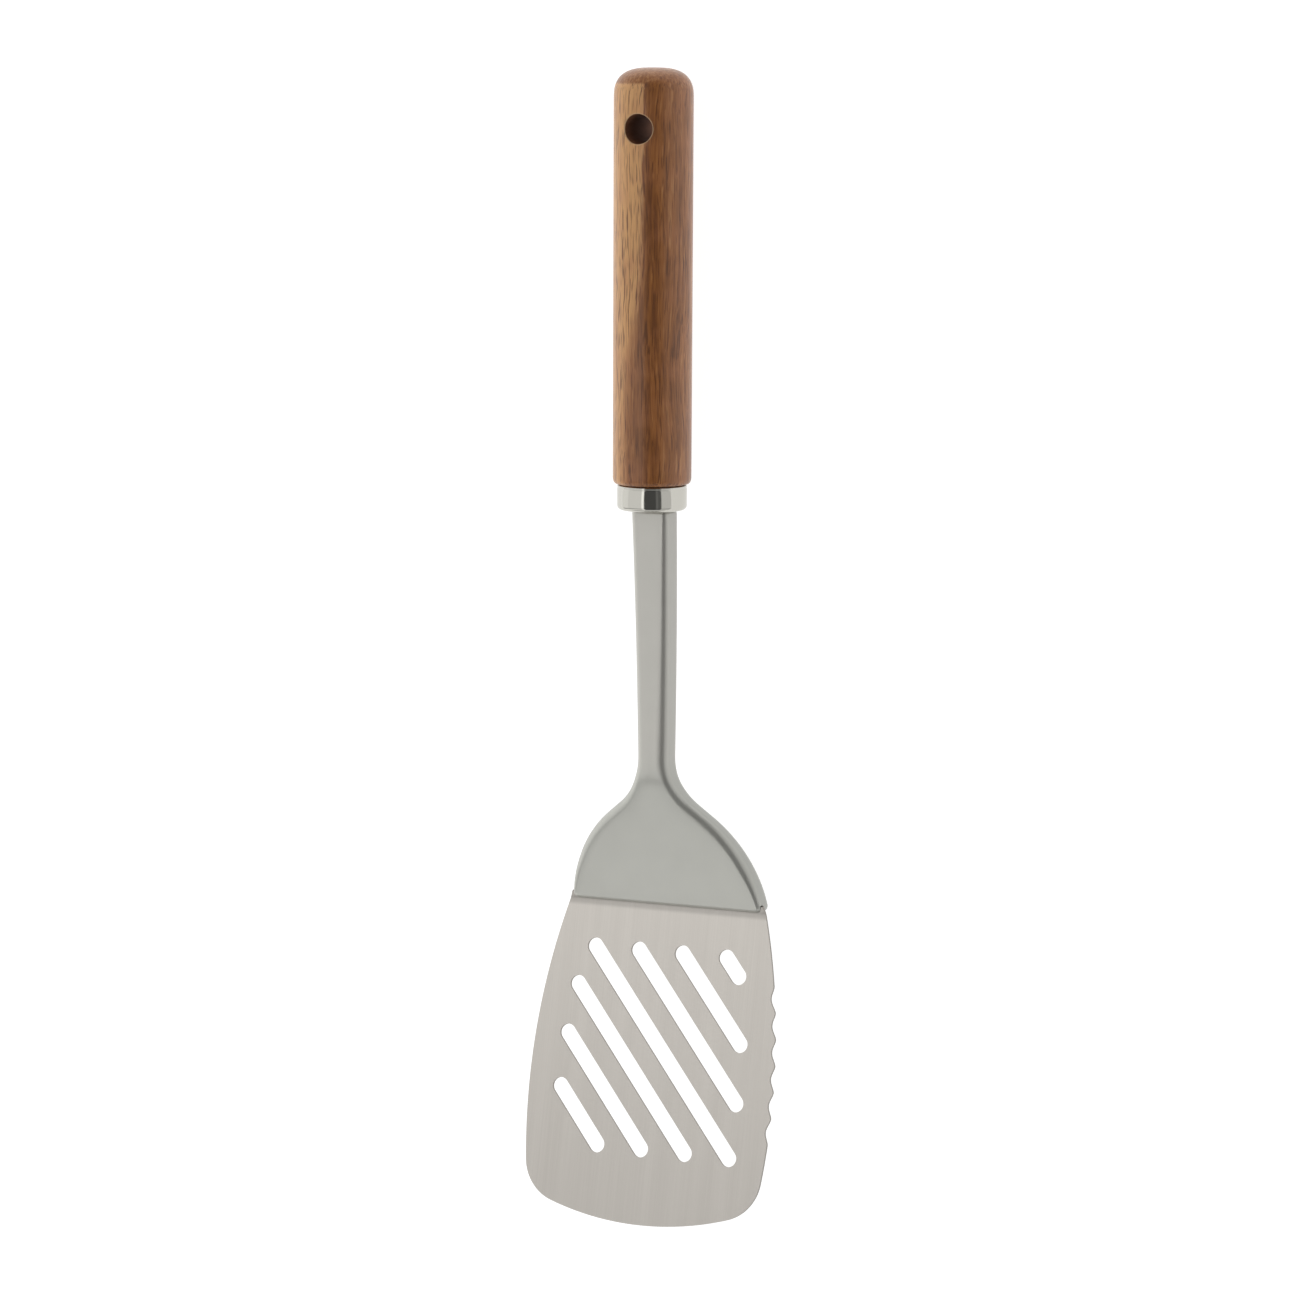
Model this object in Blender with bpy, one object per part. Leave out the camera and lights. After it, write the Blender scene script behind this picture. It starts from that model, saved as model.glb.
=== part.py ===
# Slotted kitchen turner: acacia handle, steel ferrule, moulded neck on a steel core, slotted steel blade.
# Metres, +Z up. It lies on its back, food side up, with the handle along +Y and the blade towards -Y.
# The pieces are made about the handle's axis: y is 0 at the butt and falls towards the blade, z is 0 on the
# axis. An empty then lays the whole tool on its handle and its heel, with the origin under its middle.

import math

import bmesh
import bpy
from mathutils import Matrix, Vector

# Gap kept between pieces that touch
FIT = 0.0003

# Handle, turned from one stick of acacia
HANDLE_LENGTH = 0.128
HANDLE_RADIUS = 0.0123
HANDLE_FRONT_RADIUS = 0.0122
BUTT_LENGTH = 0.0094
BUTT_FLATNESS = 0.69
BUTT_FULLNESS = 0.74
FRONT_ROUNDING = 0.0020
HANG_HOLE_RADIUS = 0.0046
HANG_HOLE_FROM_BUTT = 0.0185

# Ferrule, a drawn stainless cup between the handle and the neck
FERRULE_RADIUS = 0.0109
FERRULE_LENGTH = 0.0079
FERRULE_WALL = 0.0006
FERRULE_BEAD = 0.0007
FERRULE_BEAD_RISE = 0.00015
FERRULE_CORNER = 0.0015

# Neck, one moulding from the ferrule to the heel
NECK_LENGTH = 0.0792
NECK_TOP_HALF_WIDTH = 0.0066
NECK_LOW_HALF_WIDTH = 0.0055
NECK_TOP_THICKNESS = 0.0082
NECK_LOW_THICKNESS = 0.0078
NECK_TOP_HEIGHT = 0.0027
NECK_LOW_HEIGHT = 0.0001
NECK_FACE_EDGE = 0.0023
NECK_BACK_EDGE = 0.0016
MOULD_DRAFT = math.radians(3.5)

# Shoulder, the wide end of the same moulding
SHOULDER_LENGTH = 0.0472
SHOULDER_LEAN = math.radians(16.4)
SHOULDER_LEAN_FROM = 0.0056
SHOULDER_EASING = 0.002
SHOULDER_HALF_WIDTH = 0.0328
SHOULDER_END_THICKNESS = 0.0070
SHOULDER_FLARE = math.radians(50.7)
SHOULDER_END_FLARE = math.radians(4.5)
SHOULDER_NECK_RADIUS = 0.0194
SHOULDER_SIDE_RADIUS = 0.0425
SHOULDER_END_EDGE = 0.0010

# Blade, stamped from stainless sheet and bent once at the heel
SHEET = 0.0010
BLADE_LENGTH = 0.1009
BLADE_LEAN = math.radians(13.3)
BLADE_BEND_RADIUS = 0.0020
BLADE_HALF_WIDTH = 0.04175
BLADE_WIDEST_AT = 0.059
BLADE_SIDE_RADIUS = 0.217
BLADE_TIP_RADIUS = 0.099
BLADE_CORNER_RADIUS = 0.0145
BLADE_DEPTH_IN_SHOULDER = 0.0015

# Scallops along the blade's right edge
SCALLOP_COUNT = 6
SCALLOP_FIRST_AT = 0.0264
SCALLOP_PITCH = 0.00825
SCALLOP_DEPTH = 0.00125
SCALLOP_FULLNESS = 0.8

# Slots through the blade
SLOT_WIDTH = 0.0054
SLOT_PITCH = 0.01155
SLOT_ANGLE = math.radians(50.0)
SLOT_MIDDLE_OFFSET = 0.02735
SLOT_FIELD_TOP = 0.0126
SLOT_FIELD_BOTTOM = 0.0791
SLOT_LEFT_MARGIN = 0.0092
SLOT_RIGHT_MARGIN = 0.0104

# Root of the blade, moulded into the shoulder
EAR_HEIGHT = 0.0026
ROOT_LENGTH = 0.035
ROOT_HALF_WIDTH = 0.027
ROOT_STRAIGHT = 0.008
ROOT_TOP_HALF_WIDTH = 0.007
KEY_HOLE_RADIUS = 0.0030
KEY_HOLE_SPREAD = 0.0150
KEY_HOLE_AT = 0.0110

# Core bar, a flat steel strip from inside the handle to the blade's root
CORE_WIDTH = 0.0070
CORE_THICKNESS = 0.0020
CORE_IN_HANDLE = 0.070
CORE_ROOT_OVERLAP = 0.013

# Counts of facets, and the angle past which an edge looks sharp
SHARP_ANGLE = math.radians(35.0)
TURN_STEPS = 56
EDGE_STEPS = 4
CURVE_STEP = 0.0028
END_STEP_COUNT = 3
SLOT_END_STEPS = 8
SCALLOP_STEPS = 10
OUTLINE_STEPS = 14
CORNER_STEPS = 7

# Places along the tool, measured from the butt
FERRULE_TOP_Y = -HANDLE_LENGTH - FIT
FERRULE_END_Y = FERRULE_TOP_Y - FERRULE_LENGTH
NECK_TOP_Y = FERRULE_END_Y - FIT
SHOULDER_TOP_Y = NECK_TOP_Y - NECK_LENGTH
SHOULDER_END_Y = SHOULDER_TOP_Y - SHOULDER_LENGTH
CORE_TOP_Y = NECK_TOP_Y + CORE_IN_HANDLE
BEND_ANGLE = SHOULDER_LEAN + BLADE_LEAN
HALF_BEND = BLADE_BEND_RADIUS * BEND_ANGLE / 2
CORE_DEPTH = BLADE_DEPTH_IN_SHOULDER + SHEET / 2 + FIT + CORE_THICKNESS / 2


def clear_scene():
    for thing in list(bpy.data.objects):
        bpy.data.objects.remove(thing, do_unlink=True)


def make_material(name, colour, roughness, metallic):
    material = bpy.data.materials.new(name)
    material.use_nodes = True
    shader = material.node_tree.nodes["Principled BSDF"]
    shader.inputs["Base Color"].default_value = (*colour, 1.0)
    shader.inputs["Roughness"].default_value = roughness
    shader.inputs["Metallic"].default_value = metallic
    return material


def add_object(name, bm, material=None):
    """Makes an object of a bmesh, closed and facing out, with smooth round faces."""
    bmesh.ops.remove_doubles(bm, verts=bm.verts, dist=1e-6)
    bmesh.ops.recalc_face_normals(bm, faces=bm.faces)
    mesh = bpy.data.meshes.new(name)
    bm.to_mesh(mesh)
    bm.free()
    mesh.shade_smooth()
    mesh.set_sharp_from_angle(angle=SHARP_ANGLE)
    if material:
        mesh.materials.append(material)
    thing = bpy.data.objects.new(name, mesh)
    bpy.context.collection.objects.link(thing)
    return thing


def cut(target, cutter):
    """Takes a cutter out of a target, and keeps the cutter as a wire guide."""
    cutter.hide_render = True
    cutter.display_type = "WIRE"
    modifier = target.modifiers.new("cut " + cutter.name, "BOOLEAN")
    modifier.operation = "DIFFERENCE"
    modifier.solver = "EXACT"
    modifier.object = cutter
    cutter.parent = target


def turn(name, profile, material):
    """Turns a profile of (radius, y) points about the handle's axis."""
    bm = bmesh.new()
    verts = [bm.verts.new((radius, y, 0.0)) for radius, y in profile]
    edges = [bm.edges.new(pair) for pair in zip(verts, verts[1:])]
    if profile[0][0] > 0:
        edges.append(bm.edges.new((verts[-1], verts[0])))
    bmesh.ops.spin(bm, geom=verts + edges, cent=(0, 0, 0), axis=(0, 1, 0), angle=math.tau,
                   steps=TURN_STEPS, use_merge=True)
    return add_object(name, bm, material)


def drill(name, radius, length, place, direction):
    """Makes a round cutter about a place, along a direction."""
    bm = bmesh.new()
    matrix = Matrix.Translation(place) @ direction.to_track_quat("Z", "Y").to_matrix().to_4x4()
    bmesh.ops.create_cone(bm, cap_ends=True, segments=TURN_STEPS // 2, radius1=radius, radius2=radius,
                          depth=length, matrix=matrix)
    return add_object(name, bm)


def join_rings(bm, rings):
    """Skins a row of equal rings of vertices and closes its two ends."""
    for ring, following in zip(rings, rings[1:]):
        for k in range(len(ring)):
            nxt = (k + 1) % len(ring)
            bm.faces.new((ring[k], ring[nxt], following[nxt], following[k]))
    bm.faces.new(rings[0])
    bm.faces.new(rings[-1][::-1])


# Shape of the neck and the shoulder

def front_height(y):
    """Height of the moulding's front face above the handle's axis."""
    along = min(max((NECK_TOP_Y - y) / NECK_LENGTH, -0.5), 1.0)
    bowed = NECK_LOW_HEIGHT + (NECK_TOP_HEIGHT - NECK_LOW_HEIGHT) * (1.0 - along) ** 2
    past = SHOULDER_TOP_Y - SHOULDER_LEAN_FROM - y
    eased = (math.hypot(past, SHOULDER_EASING) + past) / 2
    return bowed - eased * math.tan(SHOULDER_LEAN)


def thickness(y):
    if y > SHOULDER_TOP_Y:
        along = (NECK_TOP_Y - y) / NECK_LENGTH
        return NECK_TOP_THICKNESS + (NECK_LOW_THICKNESS - NECK_TOP_THICKNESS) * along
    along = (SHOULDER_TOP_Y - y) / SHOULDER_LENGTH
    return NECK_LOW_THICKNESS + (SHOULDER_END_THICKNESS - NECK_LOW_THICKNESS) * along


def flare_parts():
    """Length of the straight flare, and the height of the whole flare above the heel."""
    rise_neck = SHOULDER_NECK_RADIUS * (1.0 - math.cos(SHOULDER_FLARE))
    rise_side = SHOULDER_SIDE_RADIUS * (math.cos(SHOULDER_END_FLARE) - math.cos(SHOULDER_FLARE))
    spread = SHOULDER_HALF_WIDTH - NECK_LOW_HALF_WIDTH
    straight = (spread - rise_neck - rise_side) / math.sin(SHOULDER_FLARE)
    run_neck = SHOULDER_NECK_RADIUS * math.sin(SHOULDER_FLARE)
    run_side = SHOULDER_SIDE_RADIUS * (math.sin(SHOULDER_FLARE) - math.sin(SHOULDER_END_FLARE))
    return straight, run_neck, run_side


def half_width(y):
    """Half width of the moulding at its back: neck, concave arc, straight flare, convex side."""
    straight, run_neck, run_side = flare_parts()
    run_straight = straight * math.cos(SHOULDER_FLARE)
    past = SHOULDER_END_Y + run_neck + run_straight + run_side - y
    if past <= 0:
        low_y = y + past
        along = (NECK_TOP_Y - y) / (NECK_TOP_Y - low_y)
        return NECK_TOP_HALF_WIDTH + (NECK_LOW_HALF_WIDTH - NECK_TOP_HALF_WIDTH) * along
    if past <= run_neck:
        arc = math.sqrt(SHOULDER_NECK_RADIUS ** 2 - past ** 2)
        return NECK_LOW_HALF_WIDTH + SHOULDER_NECK_RADIUS - arc
    arc_end = NECK_LOW_HALF_WIDTH + SHOULDER_NECK_RADIUS * (1.0 - math.cos(SHOULDER_FLARE))
    if past <= run_neck + run_straight:
        return arc_end + (past - run_neck) * math.tan(SHOULDER_FLARE)
    to_end = run_neck + run_straight + run_side - past
    sine = math.sin(SHOULDER_END_FLARE) + to_end / SHOULDER_SIDE_RADIUS
    cosine = math.sqrt(1.0 - sine ** 2)
    return SHOULDER_HALF_WIDTH - SHOULDER_SIDE_RADIUS * (math.cos(SHOULDER_END_FLARE) - cosine)


def moulding_ring(bm, y, inset):
    """One cross-section of the moulding: a drafted, rounded rectangle facing along the tool."""
    front = front_height(y) - inset
    back = front_height(y) - thickness(y) + inset
    draft = (front - back) * math.tan(MOULD_DRAFT)
    wide = half_width(y) - inset
    face = NECK_FACE_EDGE
    rear = NECK_BACK_EDGE
    corners = ((wide - draft - face, front - face, face, 0.0),
               (-wide + draft + face, front - face, face, 90.0),
               (-wide + rear, back + rear, rear, 180.0),
               (wide - rear, back + rear, rear, 270.0))
    ring = []
    for x, z, radius, start in corners:
        for step in range(EDGE_STEPS + 1):
            angle = math.radians(start + 90.0 * step / EDGE_STEPS)
            ring.append(bm.verts.new((x + radius * math.cos(angle), y, z + radius * math.sin(angle))))
    return ring


def build_neck(material):
    """Neck and shoulder in one moulding, open inside for the core bar and the blade's root."""
    bm = bmesh.new()
    length = NECK_TOP_Y - SHOULDER_END_Y - SHOULDER_END_EDGE
    count = round(length / CURVE_STEP)
    rings = [moulding_ring(bm, NECK_TOP_Y - length * k / count, 0.0) for k in range(count + 1)]
    for k in range(1, END_STEP_COUNT + 1):
        angle = math.pi / 2 * k / END_STEP_COUNT
        y = SHOULDER_END_Y + SHOULDER_END_EDGE * (1.0 - math.sin(angle))
        rings.append(moulding_ring(bm, y, SHOULDER_END_EDGE * (1.0 - math.cos(angle))))
    join_rings(bm, rings)
    neck = add_object("neck_and_shoulder", bm, material)
    cut(neck, core_bar("core_bar_space", FIT, None))
    cut(neck, root_space())
    return neck


# Blade: cut flat, then bent at the heel

def bent(x, along, lift):
    """Place of a point of the flat blank once it is bent. along is 0 at the heel, lift is to the front."""
    lean = SHOULDER_LEAN
    heel = Vector((0, heel_y(), heel_z()))
    root_way = Vector((0, -math.cos(lean), -math.sin(lean)))
    root_up = Vector((0, -math.sin(lean), math.cos(lean)))
    start = heel - root_way * BLADE_BEND_RADIUS * math.tan(BEND_ANGLE / 2)
    if along <= -HALF_BEND:
        return start + root_way * (along + HALF_BEND) + root_up * lift + Vector((x, 0, 0))
    turned = min((along + HALF_BEND) / BLADE_BEND_RADIUS, BEND_ANGLE)
    up = Vector((0, -math.sin(lean - turned), math.cos(lean - turned)))
    way = Vector((0, -math.cos(lean - turned), -math.sin(lean - turned)))
    centre = start + root_up * BLADE_BEND_RADIUS
    beyond = max(along - HALF_BEND, 0.0)
    return centre - up * (BLADE_BEND_RADIUS - lift) + way * beyond + Vector((x, 0, 0))


def heel_y():
    return SHOULDER_END_Y - FIT - HALF_BEND


def heel_z():
    """Height of the heel, on the line that the root follows behind the shoulder's front face."""
    return front_height(heel_y()) - BLADE_DEPTH_IN_SHOULDER / math.cos(SHOULDER_LEAN)


def side_x(along):
    """Half width of the blade, a long arc that is widest at BLADE_WIDEST_AT."""
    return BLADE_HALF_WIDTH - BLADE_SIDE_RADIUS + math.sqrt(
        BLADE_SIDE_RADIUS ** 2 - (along - BLADE_WIDEST_AT) ** 2)


def corner_circle():
    """Centre of the corner's circle, which touches the side arc and the tip arc from inside."""
    side = Vector((BLADE_HALF_WIDTH - BLADE_SIDE_RADIUS, BLADE_WIDEST_AT))
    tip = Vector((0.0, BLADE_LENGTH - BLADE_TIP_RADIUS))
    to_side = BLADE_SIDE_RADIUS - BLADE_CORNER_RADIUS
    to_tip = BLADE_TIP_RADIUS - BLADE_CORNER_RADIUS
    apart = tip - side
    reach = (to_side ** 2 - to_tip ** 2 + apart.length ** 2) / (2 * apart.length)
    offset = math.sqrt(to_side ** 2 - reach ** 2)
    across = Vector((-apart.y, apart.x)).normalized()
    return side + apart.normalized() * reach + across * offset, side, tip


def scallop(along):
    """Depth of the wavy edge at a place along the blade."""
    turns = (along - SCALLOP_FIRST_AT) / SCALLOP_PITCH
    if not -0.5 < turns < SCALLOP_COUNT - 0.5:
        return 0.0
    return SCALLOP_DEPTH * (0.5 + 0.5 * math.cos(math.tau * turns)) ** SCALLOP_FULLNESS


def right_outline():
    """The blade's right edge from the heel to the middle of the tip."""
    centre, side, tip = corner_circle()
    side_end = side + (centre - side).normalized() * BLADE_SIDE_RADIUS
    tip_start = tip + (centre - tip).normalized() * BLADE_TIP_RADIUS
    wave_start = SCALLOP_FIRST_AT - SCALLOP_PITCH / 2
    wave_end = wave_start + SCALLOP_COUNT * SCALLOP_PITCH
    stations = [wave_start * k / OUTLINE_STEPS for k in range(OUTLINE_STEPS)]
    wave_steps = SCALLOP_COUNT * SCALLOP_STEPS
    stations += [wave_start + (wave_end - wave_start) * k / wave_steps for k in range(wave_steps)]
    stations += [wave_end + (side_end.y - wave_end) * k / EDGE_STEPS for k in range(EDGE_STEPS)]
    points = [(side_x(along), along) for along in stations]
    first = math.atan2(side_end.y - centre.y, side_end.x - centre.x)
    last = math.atan2(tip_start.y - centre.y, tip_start.x - centre.x)
    for k in range(CORNER_STEPS):
        angle = first + (last - first) * k / CORNER_STEPS
        points.append((centre.x + BLADE_CORNER_RADIUS * math.cos(angle),
                       centre.y + BLADE_CORNER_RADIUS * math.sin(angle)))
    first = math.atan2(tip_start.y - tip.y, tip_start.x - tip.x)
    for k in range(OUTLINE_STEPS + 1):
        angle = first + (math.pi / 2 - first) * k / OUTLINE_STEPS
        points.append((tip.x + BLADE_TIP_RADIUS * math.cos(angle), tip.y + BLADE_TIP_RADIUS * math.sin(angle)))
    return points


def root_outline(gap):
    """The root's right edge from its top to its ear's corner, wider by a gap for the space around it."""
    ear = side_x(-EAR_HEIGHT)
    return [(ROOT_TOP_HALF_WIDTH + gap, -ROOT_LENGTH - gap), (ROOT_HALF_WIDTH + gap, -ROOT_STRAIGHT),
            (ROOT_HALF_WIDTH + gap, -EAR_HEIGHT - gap), (ear + gap, -EAR_HEIGHT - gap)]


def slot_spans():
    """Ends of each slot's centre line, where it meets the slotted field. Short slots are left out."""
    way = Vector((math.cos(SLOT_ANGLE), math.sin(SLOT_ANGLE)))
    across = Vector((-way.y, way.x))
    reach = round(BLADE_LENGTH / SLOT_PITCH)
    steps = round(2 * BLADE_LENGTH / FIT)
    spans = []
    for number in range(-reach, reach + 1):
        middle = across * (SLOT_MIDDLE_OFFSET + number * SLOT_PITCH)
        inside = []
        for k in range(-steps, steps + 1):
            tip = middle + way * (k * FIT / 2)
            if not SLOT_FIELD_TOP <= tip.y <= SLOT_FIELD_BOTTOM:
                continue
            side = side_x(min(tip.y, BLADE_WIDEST_AT))
            if SLOT_LEFT_MARGIN - side <= tip.x <= side - SLOT_RIGHT_MARGIN:
                inside.append(tip)
        if len(inside) > 1 and (inside[-1] - inside[0]).length > 2 * SLOT_WIDTH:
            spans.append((inside[0] + way * SLOT_WIDTH / 2, inside[-1] - way * SLOT_WIDTH / 2))
    return spans


def circle_points(centre, radius, first, last, steps):
    angles = [first + (last - first) * k / steps for k in range(steps + 1)]
    return [(centre.x + radius * math.cos(angle), centre.y + radius * math.sin(angle)) for angle in angles]


def slot_outline(start, end):
    radius = SLOT_WIDTH / 2
    front = circle_points(end, radius, SLOT_ANGLE - math.pi / 2, SLOT_ANGLE + math.pi / 2, SLOT_END_STEPS)
    back = circle_points(start, radius, SLOT_ANGLE + math.pi / 2, SLOT_ANGLE + math.pi * 1.5, SLOT_END_STEPS)
    return front + back


def key_holes(radius):
    """The two round holes in the root that the moulding runs through."""
    rows = []
    for side in (-1, 1):
        centre = Vector((side * KEY_HOLE_SPREAD, -KEY_HOLE_AT))
        rows.append(circle_points(centre, radius, 0.0, math.tau, 2 * SLOT_END_STEPS)[:-1])
    return rows


def sheet_solid(name, loops, half_thickness, material, folds):
    """Fills flat loops, scores the sheet at the folds, gives it its thickness and bends it."""
    bm = bmesh.new()
    for loop in loops:
        verts = [bm.verts.new((x, along, 0.0)) for x, along in loop]
        for k, vert in enumerate(verts):
            bm.edges.new((vert, verts[(k + 1) % len(verts)]))
    bmesh.ops.triangle_fill(bm, use_beauty=True, use_dissolve=False, edges=bm.edges)
    for along in folds:
        geometry = bm.verts[:] + bm.edges[:] + bm.faces[:]
        bmesh.ops.bisect_plane(bm, geom=geometry, dist=1e-7, plane_co=(0, along, 0), plane_no=(0, 1, 0))
    bmesh.ops.remove_doubles(bm, verts=bm.verts, dist=1e-6)
    top = bmesh.ops.extrude_face_region(bm, geom=bm.faces[:])["geom"]
    top = {piece for piece in top if isinstance(piece, bmesh.types.BMVert)}
    for vert in bm.verts:
        lift = half_thickness if vert in top else -half_thickness
        vert.co = bent(vert.co.x, vert.co.y, lift)
    return add_object(name, bm, material)


def mirror_loop(right, left):
    """Joins a right edge and a left edge, given as positive half widths, into one loop."""
    return right + [(-x, along) for x, along in reversed(left)]


def build_blade(material):
    """The stamped blade with its scalloped edge, slots, root and key holes."""
    plain = right_outline()
    wavy = [(x - scallop(along), along) for x, along in plain]
    outline = mirror_loop(root_outline(0.0) + wavy, root_outline(0.0) + plain[:-1])
    loops = [outline] + [slot_outline(*span) for span in slot_spans()] + key_holes(KEY_HOLE_RADIUS)
    folds = [-HALF_BEND + 2 * HALF_BEND * k / EDGE_STEPS for k in range(EDGE_STEPS + 1)]
    return sheet_solid("slotted_blade", loops, SHEET / 2, material, folds)


def root_space():
    """The space that the root takes in the moulding, open at the heel, with pins left in its key holes."""
    past_end = 4 * FIT - HALF_BEND
    edge = root_outline(FIT)
    edge.append((side_x(past_end) + FIT, past_end))
    loops = [mirror_loop(edge, edge)] + key_holes(KEY_HOLE_RADIUS - FIT)
    return sheet_solid("blade_root_space", loops, SHEET / 2 + FIT, None, [])


# Core bar

def core_height(y):
    """Height of the bar's middle: behind the front face, and straight inside the handle."""
    level = min(y, NECK_TOP_Y)
    lean = math.atan2(front_height(level + FIT) - front_height(level - FIT), 2 * FIT)
    return front_height(level) - CORE_DEPTH / math.cos(lean)


def core_end_y():
    return heel_y() + (ROOT_LENGTH - CORE_ROOT_OVERLAP) * math.cos(SHOULDER_LEAN)


def core_bar(name, gap, material):
    """The flat bar, bowed with the neck. With a gap it is the space around the bar."""
    top = CORE_TOP_Y + gap
    end = core_end_y() - gap
    stations = [top]
    bowed = max(round((NECK_TOP_Y - end) / CURVE_STEP), 2)
    stations += [NECK_TOP_Y + (end - NECK_TOP_Y) * k / bowed for k in range(bowed + 1)]
    bm = bmesh.new()
    wide = CORE_WIDTH / 2 + gap
    half = CORE_THICKNESS / 2 + gap
    rings = []
    for y in stations:
        height = core_height(y)
        corners = ((wide, half), (-wide, half), (-wide, -half), (wide, -half))
        rings.append([bm.verts.new((x, y, height + z)) for x, z in corners])
    join_rings(bm, rings)
    return add_object(name, bm, material)


# Handle and ferrule

def butt_profile():
    """The domed butt, a full ellipse from the axis out to the handle's radius."""
    profile = []
    steps = 3 * EDGE_STEPS
    for k in range(steps + 1):
        angle = math.pi / 2 * k / steps
        profile.append((HANDLE_RADIUS * math.sin(angle) ** BUTT_FLATNESS,
                        -BUTT_LENGTH * (1.0 - math.cos(angle) ** BUTT_FULLNESS)))
    return profile


def spigot_size():
    """Radius and length of the handle's spigot, which fills the ferrule."""
    radius = FERRULE_RADIUS - FERRULE_WALL - FIT
    return radius, FERRULE_LENGTH - FERRULE_WALL


def build_handle(material):
    """The turned stick, with its spigot, the blind bore for the core bar and the hanging hole."""
    profile = butt_profile()
    profile.append((HANDLE_FRONT_RADIUS, -HANDLE_LENGTH + FRONT_ROUNDING))
    for k in range(1, EDGE_STEPS + 1):
        angle = math.pi / 2 * k / EDGE_STEPS
        inset = FRONT_ROUNDING / 2 * (1.0 - math.cos(angle))
        y = -HANDLE_LENGTH + FRONT_ROUNDING * (1.0 - math.sin(angle))
        profile.append((HANDLE_FRONT_RADIUS - inset, y))
    radius, length = spigot_size()
    profile.append((radius, -HANDLE_LENGTH))
    profile.append((radius, -HANDLE_LENGTH - length + FERRULE_CORNER))
    profile.append((radius - FERRULE_CORNER, -HANDLE_LENGTH - length))
    profile.append((0.0, -HANDLE_LENGTH - length))
    handle = turn("acacia_handle", profile, material)

    bore_radius = math.hypot(CORE_WIDTH / 2, CORE_THICKNESS / 2) + FIT
    front_y = -HANDLE_LENGTH - length
    blind_y = CORE_TOP_Y + FIT
    past_face = 2 * FERRULE_LENGTH
    middle = Vector((0, (blind_y + front_y - past_face) / 2, core_height(blind_y)))
    bore_length = blind_y - front_y + past_face
    cut(handle, drill("core_bore_guide", bore_radius, bore_length, middle, Vector((0, 1, 0))))

    across = Vector((0, -HANG_HOLE_FROM_BUTT, 0))
    cut(handle, drill("hanging_hole_guide", HANG_HOLE_RADIUS, 3 * HANDLE_RADIUS, across, Vector((0, 0, 1))))
    return handle


def build_ferrule(material):
    """The drawn cup with its rolled bead, pierced for the core bar."""
    top = FERRULE_TOP_Y
    end = FERRULE_END_Y
    inner = FERRULE_RADIUS - FERRULE_WALL
    profile = []
    bead_steps = 2 * EDGE_STEPS
    for k in range(bead_steps + 1):
        angle = math.pi * k / bead_steps
        wall = FERRULE_WALL * math.sin(min(angle, math.pi / 2))
        rise = FERRULE_BEAD_RISE * math.sin(angle)
        profile.append((inner + wall + rise, top - FERRULE_BEAD / 2 * (1.0 - math.cos(angle))))
    for k in range(EDGE_STEPS + 1):
        angle = math.pi / 2 * k / EDGE_STEPS
        profile.append((FERRULE_RADIUS - FERRULE_CORNER * (1.0 - math.cos(angle)),
                        end + FERRULE_CORNER * (1.0 - math.sin(angle))))
    profile.append((CORE_WIDTH / 4, end))
    profile.append((CORE_WIDTH / 4, end + FERRULE_WALL))
    for k in range(EDGE_STEPS + 1):
        angle = math.pi / 2 * (1.0 - k / EDGE_STEPS)
        corner = FERRULE_CORNER - FERRULE_WALL
        profile.append((inner - corner * (1.0 - math.cos(angle)),
                        end + FERRULE_WALL + corner * (1.0 - math.sin(angle))))
    ferrule = turn("ferrule_cup", profile, material)
    cut(ferrule, core_bar("ferrule_slot_guide", FIT, None))
    return ferrule


# The tool at rest on a table

def resting_line(points):
    """The longest edge of the outline's underside, seen from the side: what the tool lies on."""
    hull = []
    for point in sorted(points):
        while len(hull) > 1:
            (y0, z0), (y1, z1) = hull[-2:]
            if (y1 - y0) * (point[1] - z0) - (z1 - z0) * (point[0] - y0) > 0:
                break
            hull.pop()
        hull.append(point)
    return max(zip(hull, hull[1:]), key=lambda edge: edge[1][0] - edge[0][0])


def lay_down(pieces):
    """Parents the pieces to an empty that lays them on the table with the origin under their middle."""
    points = [vert.co.copy() for piece in pieces for vert in piece.data.vertices]
    (y0, z0), (y1, z1) = resting_line([(point.y, point.z) for point in points])
    tilt = Matrix.Rotation(-math.atan2(z1 - z0, y1 - y0), 4, "X")
    points = [tilt @ point for point in points]
    low = [min(point[k] for point in points) for k in range(3)]
    high = [max(point[k] for point in points) for k in range(3)]
    rest = bpy.data.objects.new("on_the_table", None)
    bpy.context.collection.objects.link(rest)
    rest.rotation_euler = tilt.to_euler()
    rest.location = (-(low[0] + high[0]) / 2, -(low[1] + high[1]) / 2, -low[2])
    for piece in pieces:
        piece.parent = rest


def main():
    clear_scene()
    wood = make_material("acacia_wood", (0.30, 0.14, 0.07), 0.55, 0.0)
    polished = make_material("polished_steel", (0.72, 0.72, 0.70), 0.12, 1.0)
    nylon = make_material("grey_nylon", (0.42, 0.42, 0.39), 0.50, 0.0)
    bar = make_material("plain_steel_bar", (0.55, 0.55, 0.55), 0.45, 1.0)
    brushed = make_material("brushed_steel_sheet", (0.62, 0.60, 0.57), 0.35, 1.0)
    lay_down([
        build_handle(wood),
        build_ferrule(polished),
        build_neck(nylon),
        core_bar("core_bar", 0.0, bar),
        build_blade(brushed),
    ])


main()
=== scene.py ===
"""Dresses the slotted turner: a fine mesh and a procedural finish for each piece, then the table, the tent
that lights it and the camera."""
import math

import bmesh
import bpy
import numpy as np
from mathutils import Matrix, Vector


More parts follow.
